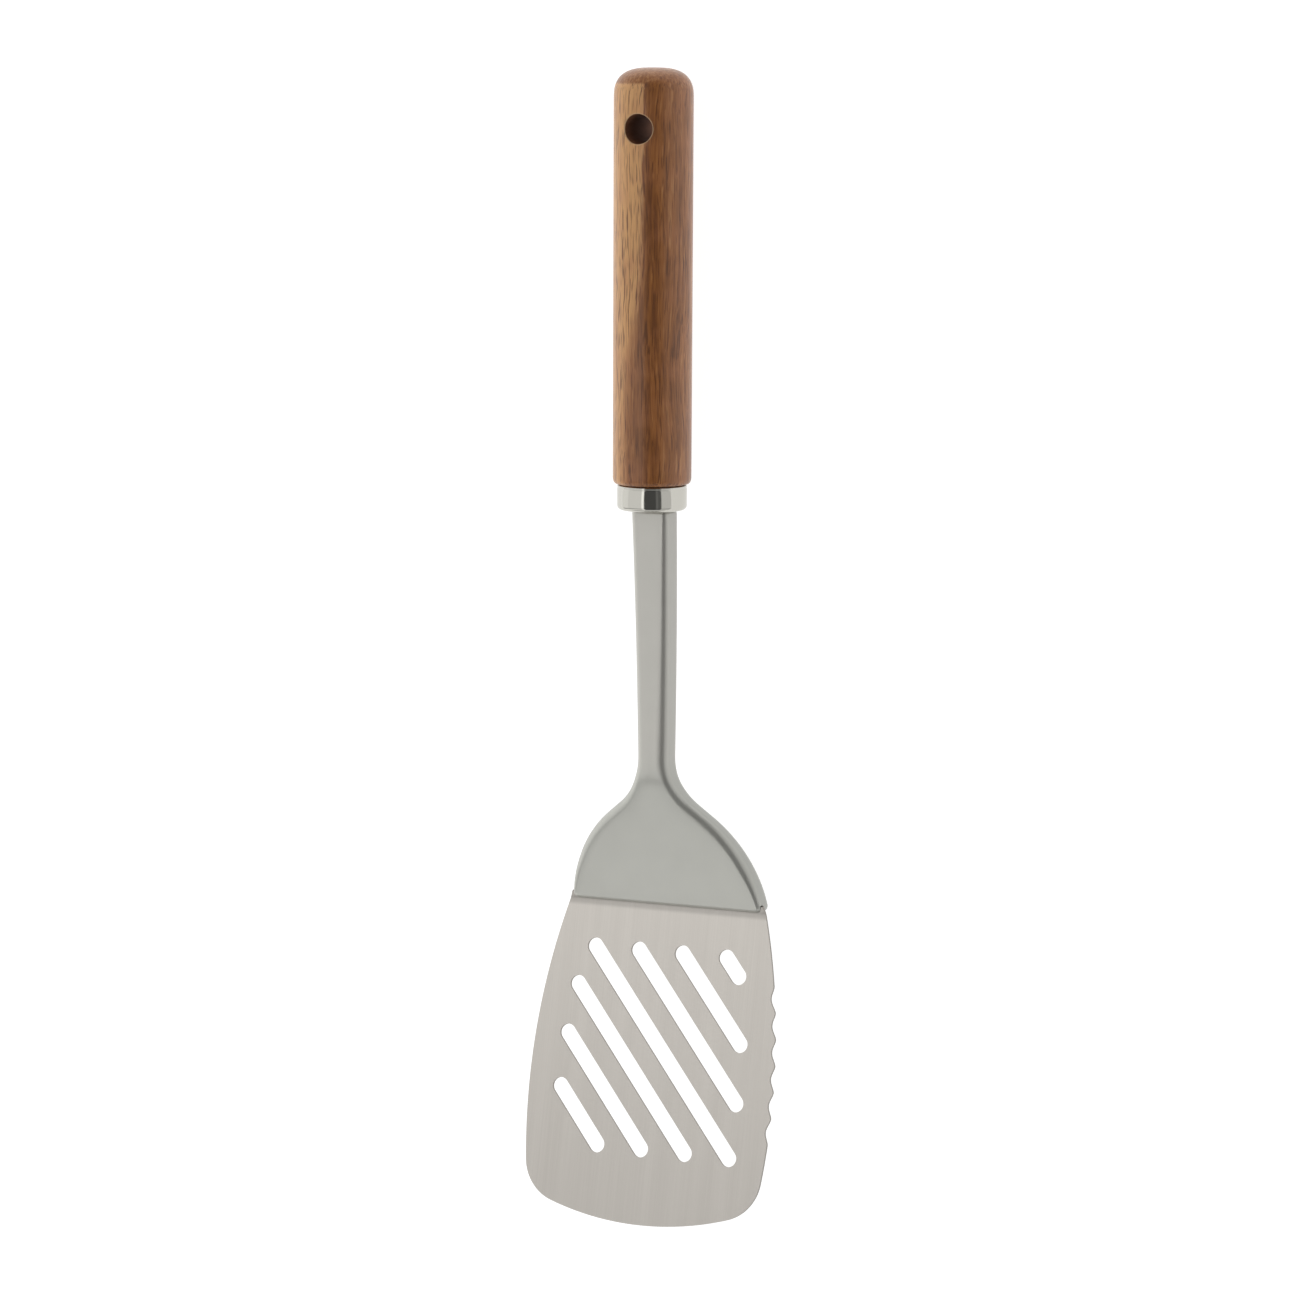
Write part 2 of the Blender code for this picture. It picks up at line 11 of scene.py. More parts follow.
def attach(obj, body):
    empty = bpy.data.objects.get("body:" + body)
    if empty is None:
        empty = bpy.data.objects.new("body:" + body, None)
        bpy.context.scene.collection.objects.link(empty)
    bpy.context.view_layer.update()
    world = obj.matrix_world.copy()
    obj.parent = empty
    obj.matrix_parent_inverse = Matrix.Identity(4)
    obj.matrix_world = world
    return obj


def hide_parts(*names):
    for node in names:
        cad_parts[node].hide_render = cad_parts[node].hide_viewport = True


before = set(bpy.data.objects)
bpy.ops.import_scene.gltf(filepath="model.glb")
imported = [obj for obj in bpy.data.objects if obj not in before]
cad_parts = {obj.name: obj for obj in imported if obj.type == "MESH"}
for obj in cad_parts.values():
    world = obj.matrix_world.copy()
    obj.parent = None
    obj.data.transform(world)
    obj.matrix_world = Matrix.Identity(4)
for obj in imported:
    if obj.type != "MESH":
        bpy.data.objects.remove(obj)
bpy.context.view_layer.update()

# Handle
# One stick of acacia, turned on a lathe, sanded and oiled. Its butt is domed, its front edge eased, and a
# hole to hang it by is drilled through it. A spigot at its front fills the ferrule, and a blind bore takes
# the core bar, which is glued in.
MM = 0.001
FIT = 0.3 * MM
HANDLE_LENGTH = 128.0 * MM
HANDLE_RADIUS = 12.3 * MM
HANDLE_FRONT_RADIUS = 12.2 * MM
BUTT_LENGTH = 9.4 * MM
BUTT_FLATNESS = 0.69
BUTT_FULLNESS = 0.74
FRONT_ROUNDING = 2.0 * MM
FERRULE_RADIUS = 10.9 * MM
FERRULE_LENGTH = 7.9 * MM
FERRULE_WALL = 0.6 * MM
SPIGOT_CORNER = 1.5 * MM
BORE_RADIUS = 3.95 * MM
BORE_DEPTH = 70.0 * MM
HANG_HOLE_RADIUS = 4.6 * MM
HANG_HOLE_FROM_BUTT = 18.5 * MM
HANG_HOLE_EDGE = 0.45 * MM
NEAR_WIDEST = 0.98
MERGE = 0.001 * MM
TURNED_STEPS = 160
BUTT_STEPS = 36
STICK_STEPS = 24
EDGE_STEPS = 8
HANG_HOLE_SIDES = 72
HANG_HOLE_EDGE_STEPS = 4
BORE_SIDES = 48


def handle_place():
    """The matrix that lays a point of the handle's own frame where the frame's handle lies. In the handle's
    frame y is 0 at the butt and falls towards the blade, and z is 0 on the axis."""
    points = np.array([vert.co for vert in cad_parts["acacia_handle"].data.vertices])
    reach = abs(points[:, 0])
    widest = points[reach > NEAR_WIDEST * reach.max()]
    slope, height = np.polyfit(widest[:, 1], widest[:, 2], 1)
    butt = points[:, 1].max()
    middle = (points[:, 0].max() + points[:, 0].min()) / 2
    origin = Matrix.Translation((middle, butt, height + slope * butt))
    return origin @ Matrix.Rotation(math.atan(slope), 4, "X")


LIE = handle_place()


def add_node(tree, kind, inputs=None, **settings):
    """Adds a node with its settings. inputs gives its sockets, by name or number, their values or links."""
    made = tree.nodes.new(kind)
    for name, value in settings.items():
        setattr(made, name, value)
    for socket, value in (inputs or {}).items():
        if isinstance(value, bpy.types.Node):
            tree.links.new(value.outputs[0], made.inputs[socket])
        elif isinstance(value, bpy.types.NodeSocket):
            tree.links.new(value, made.inputs[socket])
        else:
            made.inputs[socket].default_value = value
    return made


def linear(hex_colour):
    """The linear colour, with alpha, of an sRGB hex value."""
    parts = [int(hex_colour[k:k + 2], 16) / 255 for k in (1, 3, 5)]
    return [*((c / 12.92 if c <= 0.04045 else ((c + 0.055) / 1.055) ** 2.4) for c in parts), 1.0]


def new_material(name, roughness, metallic=0.0):
    """A material with an empty Principled shader, and the two nodes that its pattern starts from."""
    material = bpy.data.materials.new(name)
    material.use_nodes = True
    tree = material.node_tree
    shader = tree.nodes["Principled BSDF"]
    shader.inputs["Roughness"].default_value = roughness
    shader.inputs["Metallic"].default_value = metallic
    place = add_node(tree, "ShaderNodeTexCoord")
    along_axis = add_node(tree, "ShaderNodeMapping", {
        "Vector": place.outputs["Object"], "Location": LIE.translation, "Rotation": LIE.to_euler()},
        vector_type="TEXTURE")
    return material, tree, shader, along_axis


def new_tree(name, inputs):
    """A tree of Geometry Nodes with its inputs, each a name and a kind, and the node that they come from."""
    tree = bpy.data.node_groups.new(name, "GeometryNodeTree")
    for label, kind in inputs:
        tree.interface.new_socket(label, in_out="INPUT", socket_type="NodeSocket" + kind)
    tree.interface.new_socket("Made", in_out="OUTPUT", socket_type="NodeSocketGeometry")
    return tree, add_node(tree, "NodeGroupInput")


def end_tree(tree, given, made):
    """Ends a tree with a real mesh in the finish that it was given."""
    real = add_node(tree, "GeometryNodeRealizeInstances", {"Geometry": made})
    finished = add_node(tree, "GeometryNodeSetMaterial", {
        "Geometry": real, "Material": given.outputs["Finish"]})
    add_node(tree, "NodeGroupOutput", {0: finished})
    return tree


def turning_tree():
    """Geometry Nodes that turn a profile about the Y axis: a grid whose columns are its copies."""
    tree, given = new_tree("turning", (
        ("Profile", "Geometry"), ("Steps Around", "Int"), ("Profile Points", "Int"), ("Finish", "Material")))
    steps = given.outputs["Steps Around"]
    count = given.outputs["Profile Points"]
    columns = add_node(tree, "ShaderNodeMath", {0: steps, 1: 1.0}, operation="ADD")
    grid = add_node(tree, "GeometryNodeMeshGrid", {"Vertices X": columns, "Vertices Y": count})
    index = add_node(tree, "GeometryNodeInputIndex")
    row = add_node(tree, "ShaderNodeMath", {0: index, 1: count}, operation="MODULO")
    turn = add_node(tree, "ShaderNodeMath", {0: index, 1: count}, operation="DIVIDE")
    turn = add_node(tree, "ShaderNodeMath", {0: turn}, operation="FLOOR")
    turn = add_node(tree, "ShaderNodeMath", {0: turn, 1: steps}, operation="DIVIDE")
    turn = add_node(tree, "ShaderNodeMath", {0: turn, 1: math.tau}, operation="MULTIPLY")
    place = add_node(tree, "GeometryNodeInputPosition")
    sample = add_node(tree, "GeometryNodeSampleIndex", {
        "Geometry": given.outputs["Profile"], "Value": place, "Index": row}, data_type="FLOAT_VECTOR")
    turned = add_node(tree, "ShaderNodeVectorRotate", {
        "Vector": sample, "Axis": (0.0, 1.0, 0.0), "Angle": turn}, rotation_type="AXIS_ANGLE")
    moved = add_node(tree, "GeometryNodeSetPosition", {"Geometry": grid, "Position": turned})
    closed = add_node(tree, "GeometryNodeMergeByDistance", {"Geometry": moved, "Distance": MERGE})
    return end_tree(tree, given, closed)


TURNING = turning_tree()


def add_object(name, data):
    """Adds an object to the scene."""
    made = bpy.data.objects.new(name, data)
    bpy.context.collection.objects.link(made)
    return made


def made_mesh(thing):
    """Takes an object away, and gives the mesh that its modifiers made of it."""
    made = bpy.data.meshes.new_from_object(thing.evaluated_get(bpy.context.evaluated_depsgraph_get()))
    bpy.data.objects.remove(thing)
    return made


def run_tree(name, mesh, tree, settings):
    """Runs a tree of Geometry Nodes on a mesh, with its inputs by name, and gives the mesh that it makes."""
    thing = add_object(name, mesh)
    modifier = thing.modifiers.new(tree.name, "NODES")
    modifier.node_group = tree
    for item in tree.interface.items_tree:
        if item.name in settings:
            modifier[item.identifier] = settings[item.name]
    made = made_mesh(thing)
    if len(made.materials) > 1 and made.materials[0] is None:
        made.materials.pop(index=0)
    return made


def closed_mesh(mesh, bm):
    """Writes a closed shape to its mesh, with the faces turned outwards."""
    bmesh.ops.recalc_face_normals(bm, faces=bm.faces)
    bm.to_mesh(mesh)
    bm.free()
    return mesh


def turned(name, profile, material):
    """The mesh of a profile of (radius, y) points turned about the handle's axis."""
    mesh = bpy.data.meshes.new(name)
    mesh.from_pydata([(radius, y, 0.0) for radius, y in profile], [], [])
    mesh = run_tree(name, mesh, TURNING, {
        "Steps Around": TURNED_STEPS, "Profile Points": len(profile), "Finish": material})
    bm = bmesh.new()
    bm.from_mesh(mesh)
    return closed_mesh(mesh, bm)


def cut_out(mesh, cutters):
    """The mesh without what its cutters hold."""
    thing = add_object("cut", mesh)
    tools = [add_object("cutter", cutter) for cutter in cutters]
    for tool in tools:
        modifier = thing.modifiers.new("cut", "BOOLEAN")
        modifier.operation = "DIFFERENCE"
        modifier.solver = "EXACT"
        modifier.object = tool
    made = made_mesh(thing)
    for tool in tools:
        bpy.data.objects.remove(tool)
    return made


def place_piece(name, mesh, node, sharp_angle=30.0):
    """Lays a mesh of the handle's frame in place as the piece that stands for a node."""
    mesh.transform(LIE)
    mesh.shade_smooth()
    mesh.set_sharp_from_angle(angle=math.radians(sharp_angle))
    piece = add_object(name, mesh)
    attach(piece, "root")
    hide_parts(node)


def arc(steps, first=0.0, last=90.0):
    """Angles in radians, from first to last degrees."""
    return [math.radians(first + (last - first) * k / steps) for k in range(steps + 1)]


def full_turn(sides):
    """Angles in radians, once round."""
    return arc(sides - 1, 0.0, 360.0 - 360.0 / sides)


def mixed(start, end, share):
    """A value between start, at a share of 0, and end, at 1."""
    return start + (end - start) * min(max(share, 0.0), 1.0)


def handle_profile():
    """The stick's outline from the middle of its butt to the middle of its spigot."""
    profile = [(HANDLE_RADIUS * math.sin(angle) ** BUTT_FLATNESS,
                -BUTT_LENGTH * (1.0 - math.cos(angle) ** BUTT_FULLNESS)) for angle in arc(BUTT_STEPS)]
    front = -HANDLE_LENGTH + FRONT_ROUNDING
    start = profile[-1][1]
    for k in range(1, STICK_STEPS):
        share = k / STICK_STEPS
        profile.append((mixed(HANDLE_RADIUS, HANDLE_FRONT_RADIUS, share), mixed(start, front, share)))
    for angle in arc(EDGE_STEPS):
        inset = FRONT_ROUNDING / 2 * (1.0 - math.cos(angle))
        profile.append((HANDLE_FRONT_RADIUS - inset,
                        -HANDLE_LENGTH + FRONT_ROUNDING * (1.0 - math.sin(angle))))
    radius = FERRULE_RADIUS - FERRULE_WALL - FIT
    end = -HANDLE_LENGTH - FERRULE_LENGTH + FERRULE_WALL
    profile += [(radius, -HANDLE_LENGTH), (radius, end + SPIGOT_CORNER)]
    return profile + [(radius - SPIGOT_CORNER, end), (0.0, end)]


def ring_walls(bm, rings):
    """Joins a row of equal rings of points with faces, and gives each ring's vertices."""
    rows = [[bm.verts.new(point) for point in ring] for ring in rings]
    for row, following in zip(rows, rows[1:]):
        for k, vert in enumerate(row):
            after = (k + 1) % len(row)
            bm.faces.new((vert, row[after], following[after], following[k]))
    return rows


def skin(rings):
    """A closed mesh through a row of equal rings of points, with a flat end on each."""
    bm = bmesh.new()
    rows = ring_walls(bm, rings)
    bm.faces.new(rows[0])
    bm.faces.new(rows[-1])
    return closed_mesh(bpy.data.meshes.new("skin"), bm)


def hang_hole():
    """The drill's path through the stick, with its edges eased evenly where they meet the round surface, and
    flat ends clear of it."""
    rounds = [(HANG_HOLE_EDGE * (1.0 - math.cos(angle)), HANG_HOLE_EDGE * (1.0 - math.sin(angle)), 1.0)
              for angle in arc(HANG_HOLE_EDGE_STEPS)]
    rounds.append((HANG_HOLE_EDGE, -HANDLE_RADIUS, 0.0))
    rings = []
    for side, order in ((-1, reversed(rounds)), (1, rounds)):
        for wider, depth, follows in order:
            radius = HANG_HOLE_RADIUS + wider
            ring = []
            for angle in full_turn(HANG_HOLE_SIDES):
                x = radius * math.cos(angle)
                surface = math.sqrt(HANDLE_RADIUS ** 2 - x ** 2)
                height = follows * surface + (1.0 - follows) * HANDLE_RADIUS - depth
                ring.append((x, -HANG_HOLE_FROM_BUTT + radius * math.sin(angle), side * height))
            rings.append(ring)
    return skin(rings)


def core_bore():
    """The drill's path for the bar, from past the spigot's end to the bore's blind end."""
    start = -HANDLE_LENGTH - 2 * FERRULE_LENGTH
    end = -HANDLE_LENGTH - FERRULE_LENGTH - 2 * FIT + BORE_DEPTH + FIT
    return skin([[(BORE_RADIUS * math.cos(angle), y, BORE_RADIUS * math.sin(angle))
                  for angle in full_turn(BORE_SIDES)] for y in (start, end)])


def stretched_noise(tree, place, across, along, seed, detail):
    """Noise whose cells run along the stick, with their width and length in metres."""
    cells = add_node(tree, "ShaderNodeMapping", {
        "Vector": place, "Scale": (1 / across, 1 / along, 1 / across),
        "Location": (seed, 2.0 * seed, 3.0 * seed)})
    return add_node(tree, "ShaderNodeTexNoise", {"Vector": cells, "Scale": 1.0, "Detail": detail})


def oiled_acacia():
    """Acacia, sanded fine and oiled: satin, with a darker heart, growth bands, and open pores drawn twice as
    wide as they are, because they would be too fine to show."""
    material, tree, shader, place = new_material("oiled_acacia", 0.4)
    xyz = add_node(tree, "ShaderNodeSeparateXYZ", {0: place})

    # The grain wanders by up to 1.5 mm along the stick
    wander = add_node(tree, "ShaderNodeTexNoise", {"Vector": place, "Scale": 1 / (45 * MM), "Detail": 2.0})
    wander = add_node(tree, "ShaderNodeVectorMath", {0: wander.outputs["Color"], 1: (0.5, 0.5, 0.5)},
                      operation="SUBTRACT")
    wander = add_node(tree, "ShaderNodeVectorMath", {0: wander, "Scale": 5.0 * MM}, operation="SCALE")
    grain = add_node(tree, "ShaderNodeVectorMath", {0: place, 1: wander})
    bands = stretched_noise(tree, grain, 3.2 * MM, 95 * MM, 1.0, 3.0)
    fibres = stretched_noise(tree, grain, 0.9 * MM, 26 * MM, 2.0, 4.0)
    fine_pores = stretched_noise(tree, grain, 0.45 * MM, 8.0 * MM, 3.0, 1.0)
    fine_pores = add_node(tree, "ShaderNodeMapRange", {
        "Value": fine_pores, "From Min": 0.56, "From Max": 0.68, "To Max": 0.55})
    long_pores = stretched_noise(tree, grain, 0.55 * MM, 13.0 * MM, 6.0, 2.0)
    long_pores = add_node(tree, "ShaderNodeMapRange", {
        "Value": long_pores, "From Min": 0.6, "From Max": 0.66, "To Max": 0.8})
    pores = add_node(tree, "ShaderNodeMath", {0: fine_pores, 1: long_pores}, operation="MAXIMUM")
    dome = add_node(tree, "ShaderNodeMapRange", {
        "Value": xyz.outputs["Y"], "From Min": -7 * MM, "From Max": -1 * MM, "To Min": 1.0, "To Max": 0.25})
    pores = add_node(tree, "ShaderNodeMath", {0: pores, 1: dome}, operation="MULTIPLY")
    sheen = stretched_noise(tree, grain, 0.8 * MM, 14 * MM, 4.0, 2.0)
    sheen = add_node(tree, "ShaderNodeMapRange", {"Value": sheen, "From Min": 0.55, "From Max": 0.72})

    # The sapwood on the left, which darkens towards the ferrule
    sap = add_node(tree, "ShaderNodeMapRange", {
        "Value": xyz.outputs["Y"], "From Min": -10 * MM, "From Max": -HANDLE_LENGTH, "To Max": 0.16})

    # The butt's end grain, which drinks more oil
    end_grain = add_node(tree, "ShaderNodeMapRange", {
        "Value": xyz.outputs["Y"], "From Min": -5.3 * MM, "From Max": -4.3 * MM, "To Max": 0.66},
        interpolation_type="SMOOTHSTEP")
    sap = add_node(tree, "ShaderNodeMath", {0: sap, 1: end_grain}, operation="ADD")

    # The heart on the right. Its boundary is sharp near the butt, then drifts left and softens.
    ragged = stretched_noise(tree, place, 2.5 * MM, 9.0 * MM, 5.0, 3.0)
    ragged = add_node(tree, "ShaderNodeMapRange", {
        "Value": ragged, "To Min": -1.0 * MM, "To Max": 1.0 * MM})
    side = add_node(tree, "ShaderNodeMath", {0: xyz.outputs["X"], 1: ragged}, operation="ADD")
    drift = add_node(tree, "ShaderNodeMapRange", {
        "Value": xyz.outputs["Y"], "From Min": -55 * MM, "From Max": -105 * MM,
        "To Min": 1.9 * MM, "To Max": -4.2 * MM}, interpolation_type="SMOOTHSTEP")
    soft = add_node(tree, "ShaderNodeMapRange", {
        "Value": xyz.outputs["Y"], "From Min": -35 * MM, "From Max": -75 * MM,
        "To Min": 0.7 * MM, "To Max": 5.0 * MM})
    heart = add_node(tree, "ShaderNodeMath", {0: side, 1: drift}, operation="SUBTRACT")
    heart = add_node(tree, "ShaderNodeMath", {0: heart, 1: soft}, operation="DIVIDE")
    heart = add_node(tree, "ShaderNodeMapRange", {"Value": heart, "From Min": -0.5, "From Max": 0.5},
                     interpolation_type="SMOOTHSTEP")
    torn = add_node(tree, "ShaderNodeTexNoise", {"Vector": place, "Scale": 1 / (2.5 * MM), "Detail": 3.0})
    torn = add_node(tree, "ShaderNodeMapRange", {
        "Value": torn, "From Min": 0.25, "From Max": 0.75, "To Min": -7.2 * MM, "To Max": -3.6 * MM})
    rise = add_node(tree, "ShaderNodeMath", {0: side, 1: 0.45, 2: torn}, operation="MULTIPLY_ADD")
    below = add_node(tree, "ShaderNodeMath", {0: rise, 1: xyz.outputs["Y"]}, operation="SUBTRACT")
    below = add_node(tree, "ShaderNodeMapRange", {
        "Value": below, "From Min": -0.4 * MM, "From Max": 0.4 * MM}, interpolation_type="SMOOTHSTEP")
    heart = add_node(tree, "ShaderNodeMath", {0: heart, 1: below}, operation="MULTIPLY")
    paler = add_node(tree, "ShaderNodeMapRange", {
        "Value": xyz.outputs["X"], "From Min": 5 * MM, "From Max": 10 * MM, "To Min": 0.84, "To Max": 0.78})
    tone = add_node(tree, "ShaderNodeMix", {0: heart, 2: sap, 3: paler})

    # Tone from light sapwood, 0, to the darkest streaks, 1
    for pattern, amount in ((bands, 0.5), (fibres, 0.9), (sheen, -0.25)):
        tone = add_node(tree, "ShaderNodeMath", {0: pattern, 1: amount, 2: tone}, operation="MULTIPLY_ADD")
    tone = add_node(tree, "ShaderNodeMath", {0: tone, 1: 0.7}, operation="SUBTRACT")
    colour = add_node(tree, "ShaderNodeValToRGB", {0: tone})
    ramp = colour.color_ramp
    ramp.elements[0].color = linear("#d6a065")
    ramp.elements[1].color = linear("#71421e")
    for position, tint in ((0.3, "#bf8754"), (0.5, "#b17a49"), (0.7, "#9c6333"), (0.85, "#8c572a")):
        ramp.elements.new(position).color = linear(tint)
    rosy = add_node(tree, "ShaderNodeTexNoise", {"Vector": grain, "Scale": 1 / (9 * MM), "Detail": 2.0})
    rosy = add_node(tree, "ShaderNodeMapRange", {
        "Value": rosy, "From Min": 0.45, "From Max": 0.7, "To Max": 0.3})

    # The sanded edge of the hanging hole, and its wall, darkened by the drill's burnish and by painted shade
    # in the hole
    from_hole = add_node(tree, "ShaderNodeVectorMath", {0: place, 1: (0.0, HANG_HOLE_FROM_BUTT, 0.0)})
    from_hole = add_node(tree, "ShaderNodeVectorMath", {0: from_hole, 1: (1.0, 1.0, 0.0)},
                         operation="MULTIPLY")
    from_hole = add_node(tree, "ShaderNodeVectorMath", {0: from_hole}, operation="LENGTH")
    hole_wall_burnish_and_shade = add_node(tree, "ShaderNodeMapRange", {
        "Value": from_hole.outputs["Value"], "From Min": HANG_HOLE_RADIUS + 0.04 * MM,
        "From Max": HANG_HOLE_RADIUS + 0.01 * MM})
    sanded = add_node(tree, "ShaderNodeMapRange", {
        "Value": from_hole.outputs["Value"], "From Min": HANG_HOLE_RADIUS + HANG_HOLE_EDGE,
        "From Max": HANG_HOLE_RADIUS + 0.3 * HANG_HOLE_EDGE, "To Max": 0.55})
    colour = colour.outputs[0]
    # The last tint paints the hanging hole's wall dark: the drill's burnish, and painted shade in the hole
    for share, tint in ((rosy, "#b2744d"), (pores, "#5f3616"), (sanded, "#dcbd94"), (hole_wall_burnish_and_shade, "#7a4f33")):
        mix = add_node(tree, "ShaderNodeMix", {0: share, 6: colour, 7: linear(tint)}, data_type="RGBA")
        colour = mix.outputs[2]
    tree.links.new(colour, shader.inputs["Base Color"])

    gloss = add_node(tree, "ShaderNodeMapRange", {
        "Value": fibres, "From Min": 0.3, "From Max": 0.7, "To Min": 0.33, "To Max": 0.45})
    gloss = add_node(tree, "ShaderNodeMix", {0: hole_wall_burnish_and_shade, 2: gloss, 3: 0.85})
    tree.links.new(gloss.outputs[0], shader.inputs["Roughness"])
    relief = add_node(tree, "ShaderNodeMath", {0: pores, 1: -0.8, 2: fibres}, operation="MULTIPLY_ADD")
    bump = add_node(tree, "ShaderNodeBump", {"Height": relief, "Strength": 0.3, "Distance": 0.06 * MM})
    tree.links.new(bump.outputs[0], shader.inputs["Normal"])
    shader.inputs["Specular IOR Level"].default_value = 0.4
    coat = add_node(tree, "ShaderNodeMix", {0: hole_wall_burnish_and_shade, 2: 0.28, 3: 0.0})
    tree.links.new(coat.outputs[0], shader.inputs["Coat Weight"])
    shader.inputs["Coat Roughness"].default_value = 0.25
    return material


stick = turned("stick", handle_profile(), oiled_acacia())
place_piece("turned_handle", cut_out(stick, [hang_hole(), core_bore()]), "acacia_handle")

# Ferrule
# A cup drawn from stainless sheet and polished to a mirror. Its rim is round, with a groove rolled under it,
# its bottom edge is round, and a slot is pierced in its floor for the core bar. It is glued over the spigot.
FERRULE_RIM = 0.6 * MM
FERRULE_GROOVE = 0.5 * MM
FERRULE_GROOVE_DEPTH = 0.1 * MM
FERRULE_CORNER = 1.5 * MM
FERRULE_TOP_Y = -HANDLE_LENGTH - FIT
FERRULE_END_Y = FERRULE_TOP_Y - FERRULE_LENGTH
CORE_WIDTH = 7.0 * MM
CORE_THICKNESS = 2.0 * MM
FERRULE_CORNER_STEPS = 10
FERRULE_INNER_STEPS = 6


def ferrule_profile():
    """The cup's section, from its rim down the outside and back up the inside."""
    inner = FERRULE_RADIUS - FERRULE_WALL
    profile = []
    for angle in arc(EDGE_STEPS):
        profile.append((inner + FERRULE_WALL * math.sin(angle),
                        FERRULE_TOP_Y - FERRULE_RIM * (1.0 - math.cos(angle))))
    for angle in arc(EDGE_STEPS, 0.0, 180.0)[1:]:
        profile.append((FERRULE_RADIUS - FERRULE_GROOVE_DEPTH * math.sin(angle),
                        FERRULE_TOP_Y - FERRULE_RIM - FERRULE_GROOVE * angle / math.pi))
    for angle in arc(FERRULE_CORNER_STEPS):
        profile.append((FERRULE_RADIUS - FERRULE_CORNER * (1.0 - math.cos(angle)),
                        FERRULE_END_Y + FERRULE_CORNER * (1.0 - math.sin(angle))))
    hole = CORE_WIDTH / 4
    profile += [(hole, FERRULE_END_Y), (hole, FERRULE_END_Y + FERRULE_WALL)]
    corner = FERRULE_CORNER - FERRULE_WALL
    for angle in arc(FERRULE_INNER_STEPS, 90.0, 0.0):
        profile.append((inner - corner * (1.0 - math.cos(angle)),
                        FERRULE_END_Y + FERRULE_WALL + corner * (1.0 - math.sin(angle))))
    profile.append(profile[0])
    return profile


def mirror_steel():
    """Stainless, buffed to a mirror: the finest scratches only soften what it reflects."""
    material, tree, shader, place = new_material("mirror_polished_stainless", 0.06, 1.0)
    shader.inputs["Base Color"].default_value = linear("#c0beb6")
    smears = add_node(tree, "ShaderNodeTexNoise", {"Vector": place, "Scale": 1 / (2.5 * MM), "Detail": 3.0})
    gloss = add_node(tree, "ShaderNodeMapRange", {
        "Value": smears, "From Min": 0.35, "From Max": 0.7, "To Min": 0.05, "To Max": 0.12})
    tree.links.new(gloss.outputs[0], shader.inputs["Roughness"])
    return material


def bar_corners():
    """The corners of the room that the bar's section needs."""
    wide = CORE_WIDTH / 2 + FIT
    high = CORE_THICKNESS / 2 + FIT
    return (wide, high), (-wide, high), (-wide, -high), (wide, -high)


def bar_slot():
    """The slot that is pierced in the cup's floor."""
    middle = core_height(FERRULE_END_Y)
    return skin([[(x, y, middle + z) for x, z in bar_corners()]
                 for y in (FERRULE_END_Y - FERRULE_LENGTH, FERRULE_END_Y + FERRULE_LENGTH / 2)])


# Neck and shoulder
# One moulding of silver-grey nylon, from the ferrule to the heel. It is moulded over the core bar and over
# the root of the blade, so plastic runs through the root's two key holes. Its face is flat across, with
# rounded edges, and its walls lean in a little, so that it leaves the mould.
NECK_TOP_Y = FERRULE_END_Y - FIT
NECK_LENGTH = 79.2 * MM
NECK_TOP_HALF_WIDTH = 6.6 * MM
NECK_LOW_HALF_WIDTH = 5.5 * MM
NECK_TOP_THICKNESS = 8.2 * MM
NECK_LOW_THICKNESS = 7.8 * MM
NECK_TOP_HEIGHT = 2.7 * MM
NECK_LOW_HEIGHT = 0.1 * MM
SHOULDER_LENGTH = 47.2 * MM
SHOULDER_LEAN = math.radians(16.4)
SHOULDER_LEAN_FROM = 5.6 * MM
SHOULDER_EASING = 2.0 * MM
SHOULDER_HALF_WIDTH = 32.8 * MM
SHOULDER_END_THICKNESS = 7.0 * MM
SHOULDER_FLARE = math.radians(50.7)
SHOULDER_END_FLARE = math.radians(4.5)
SHOULDER_NECK_RADIUS = 19.4 * MM
SHOULDER_SIDE_RADIUS = 42.5 * MM
MOULD_DRAFT = math.radians(3.5)
NECK_TOP_EDGE = 2.2 * MM
NECK_EDGE = 2.9 * MM
FLANK_EDGE = 3.5 * MM
NECK_END_EDGE = 1.1 * MM
HEEL_EDGE = 1.6 * MM
HEEL_LIP = 0.7 * MM
BACK_EDGE = 1.6 * MM
HEEL_CORNER = 2.0 * MM
FACE_CROWN = 0.33 * MM
CROWN_TILT = 9.0
CROWN_FADE = 15.0 * MM
INNER_CORNER = 0.4 * MM
FLANK_EDGE_RUN = 0.4 * SHOULDER_LENGTH
HEEL_EDGE_RUN = 0.3 * SHOULDER_LENGTH
FLANK_STEPS = 110
END_STEPS = 12
TOP_CORNER_STEPS = 5
HEEL_CORNER_STEPS = 6
FACE_EDGE_STEPS = 9
WALL_STEPS = 4
BACK_EDGE_STEPS = 4
BLADE_DEPTH = 1.5 * MM
SHEET = 1.0 * MM
SHOULDER_TOP_Y = NECK_TOP_Y - NECK_LENGTH
SHOULDER_END_Y = SHOULDER_TOP_Y - SHOULDER_LENGTH
CORE_DEPTH = BLADE_DEPTH + SHEET / 2 + FIT + CORE_THICKNESS / 2


def front_height(y):
    """Height of the moulding's face: it bows back along the neck, then leans back down the shoulder."""
    along = min(max((NECK_TOP_Y - y) / NECK_LENGTH, -0.5), 1.0)
    bowed = NECK_LOW_HEIGHT + (NECK_TOP_HEIGHT - NECK_LOW_HEIGHT) * (1.0 - along) ** 2
    past = SHOULDER_TOP_Y - SHOULDER_LEAN_FROM - y
    eased = (math.hypot(past, SHOULDER_EASING) + past) / 2
    return bowed - eased * math.tan(SHOULDER_LEAN)


def core_height(y):
    """Height of the bar's middle: a steady depth behind the face, and straight on inside the handle."""
    level = min(y, NECK_TOP_Y)
    lean = math.atan2(front_height(level + FIT) - front_height(level - FIT), 2 * FIT)
    return front_height(level) - CORE_DEPTH / math.cos(lean)


# The ferrule's slot lies where the bar comes out of the neck
cup = turned("cup", ferrule_profile(), mirror_steel())
place_piece("drawn_ferrule", cut_out(cup, [bar_slot()]), "ferrule_cup", 40.0)


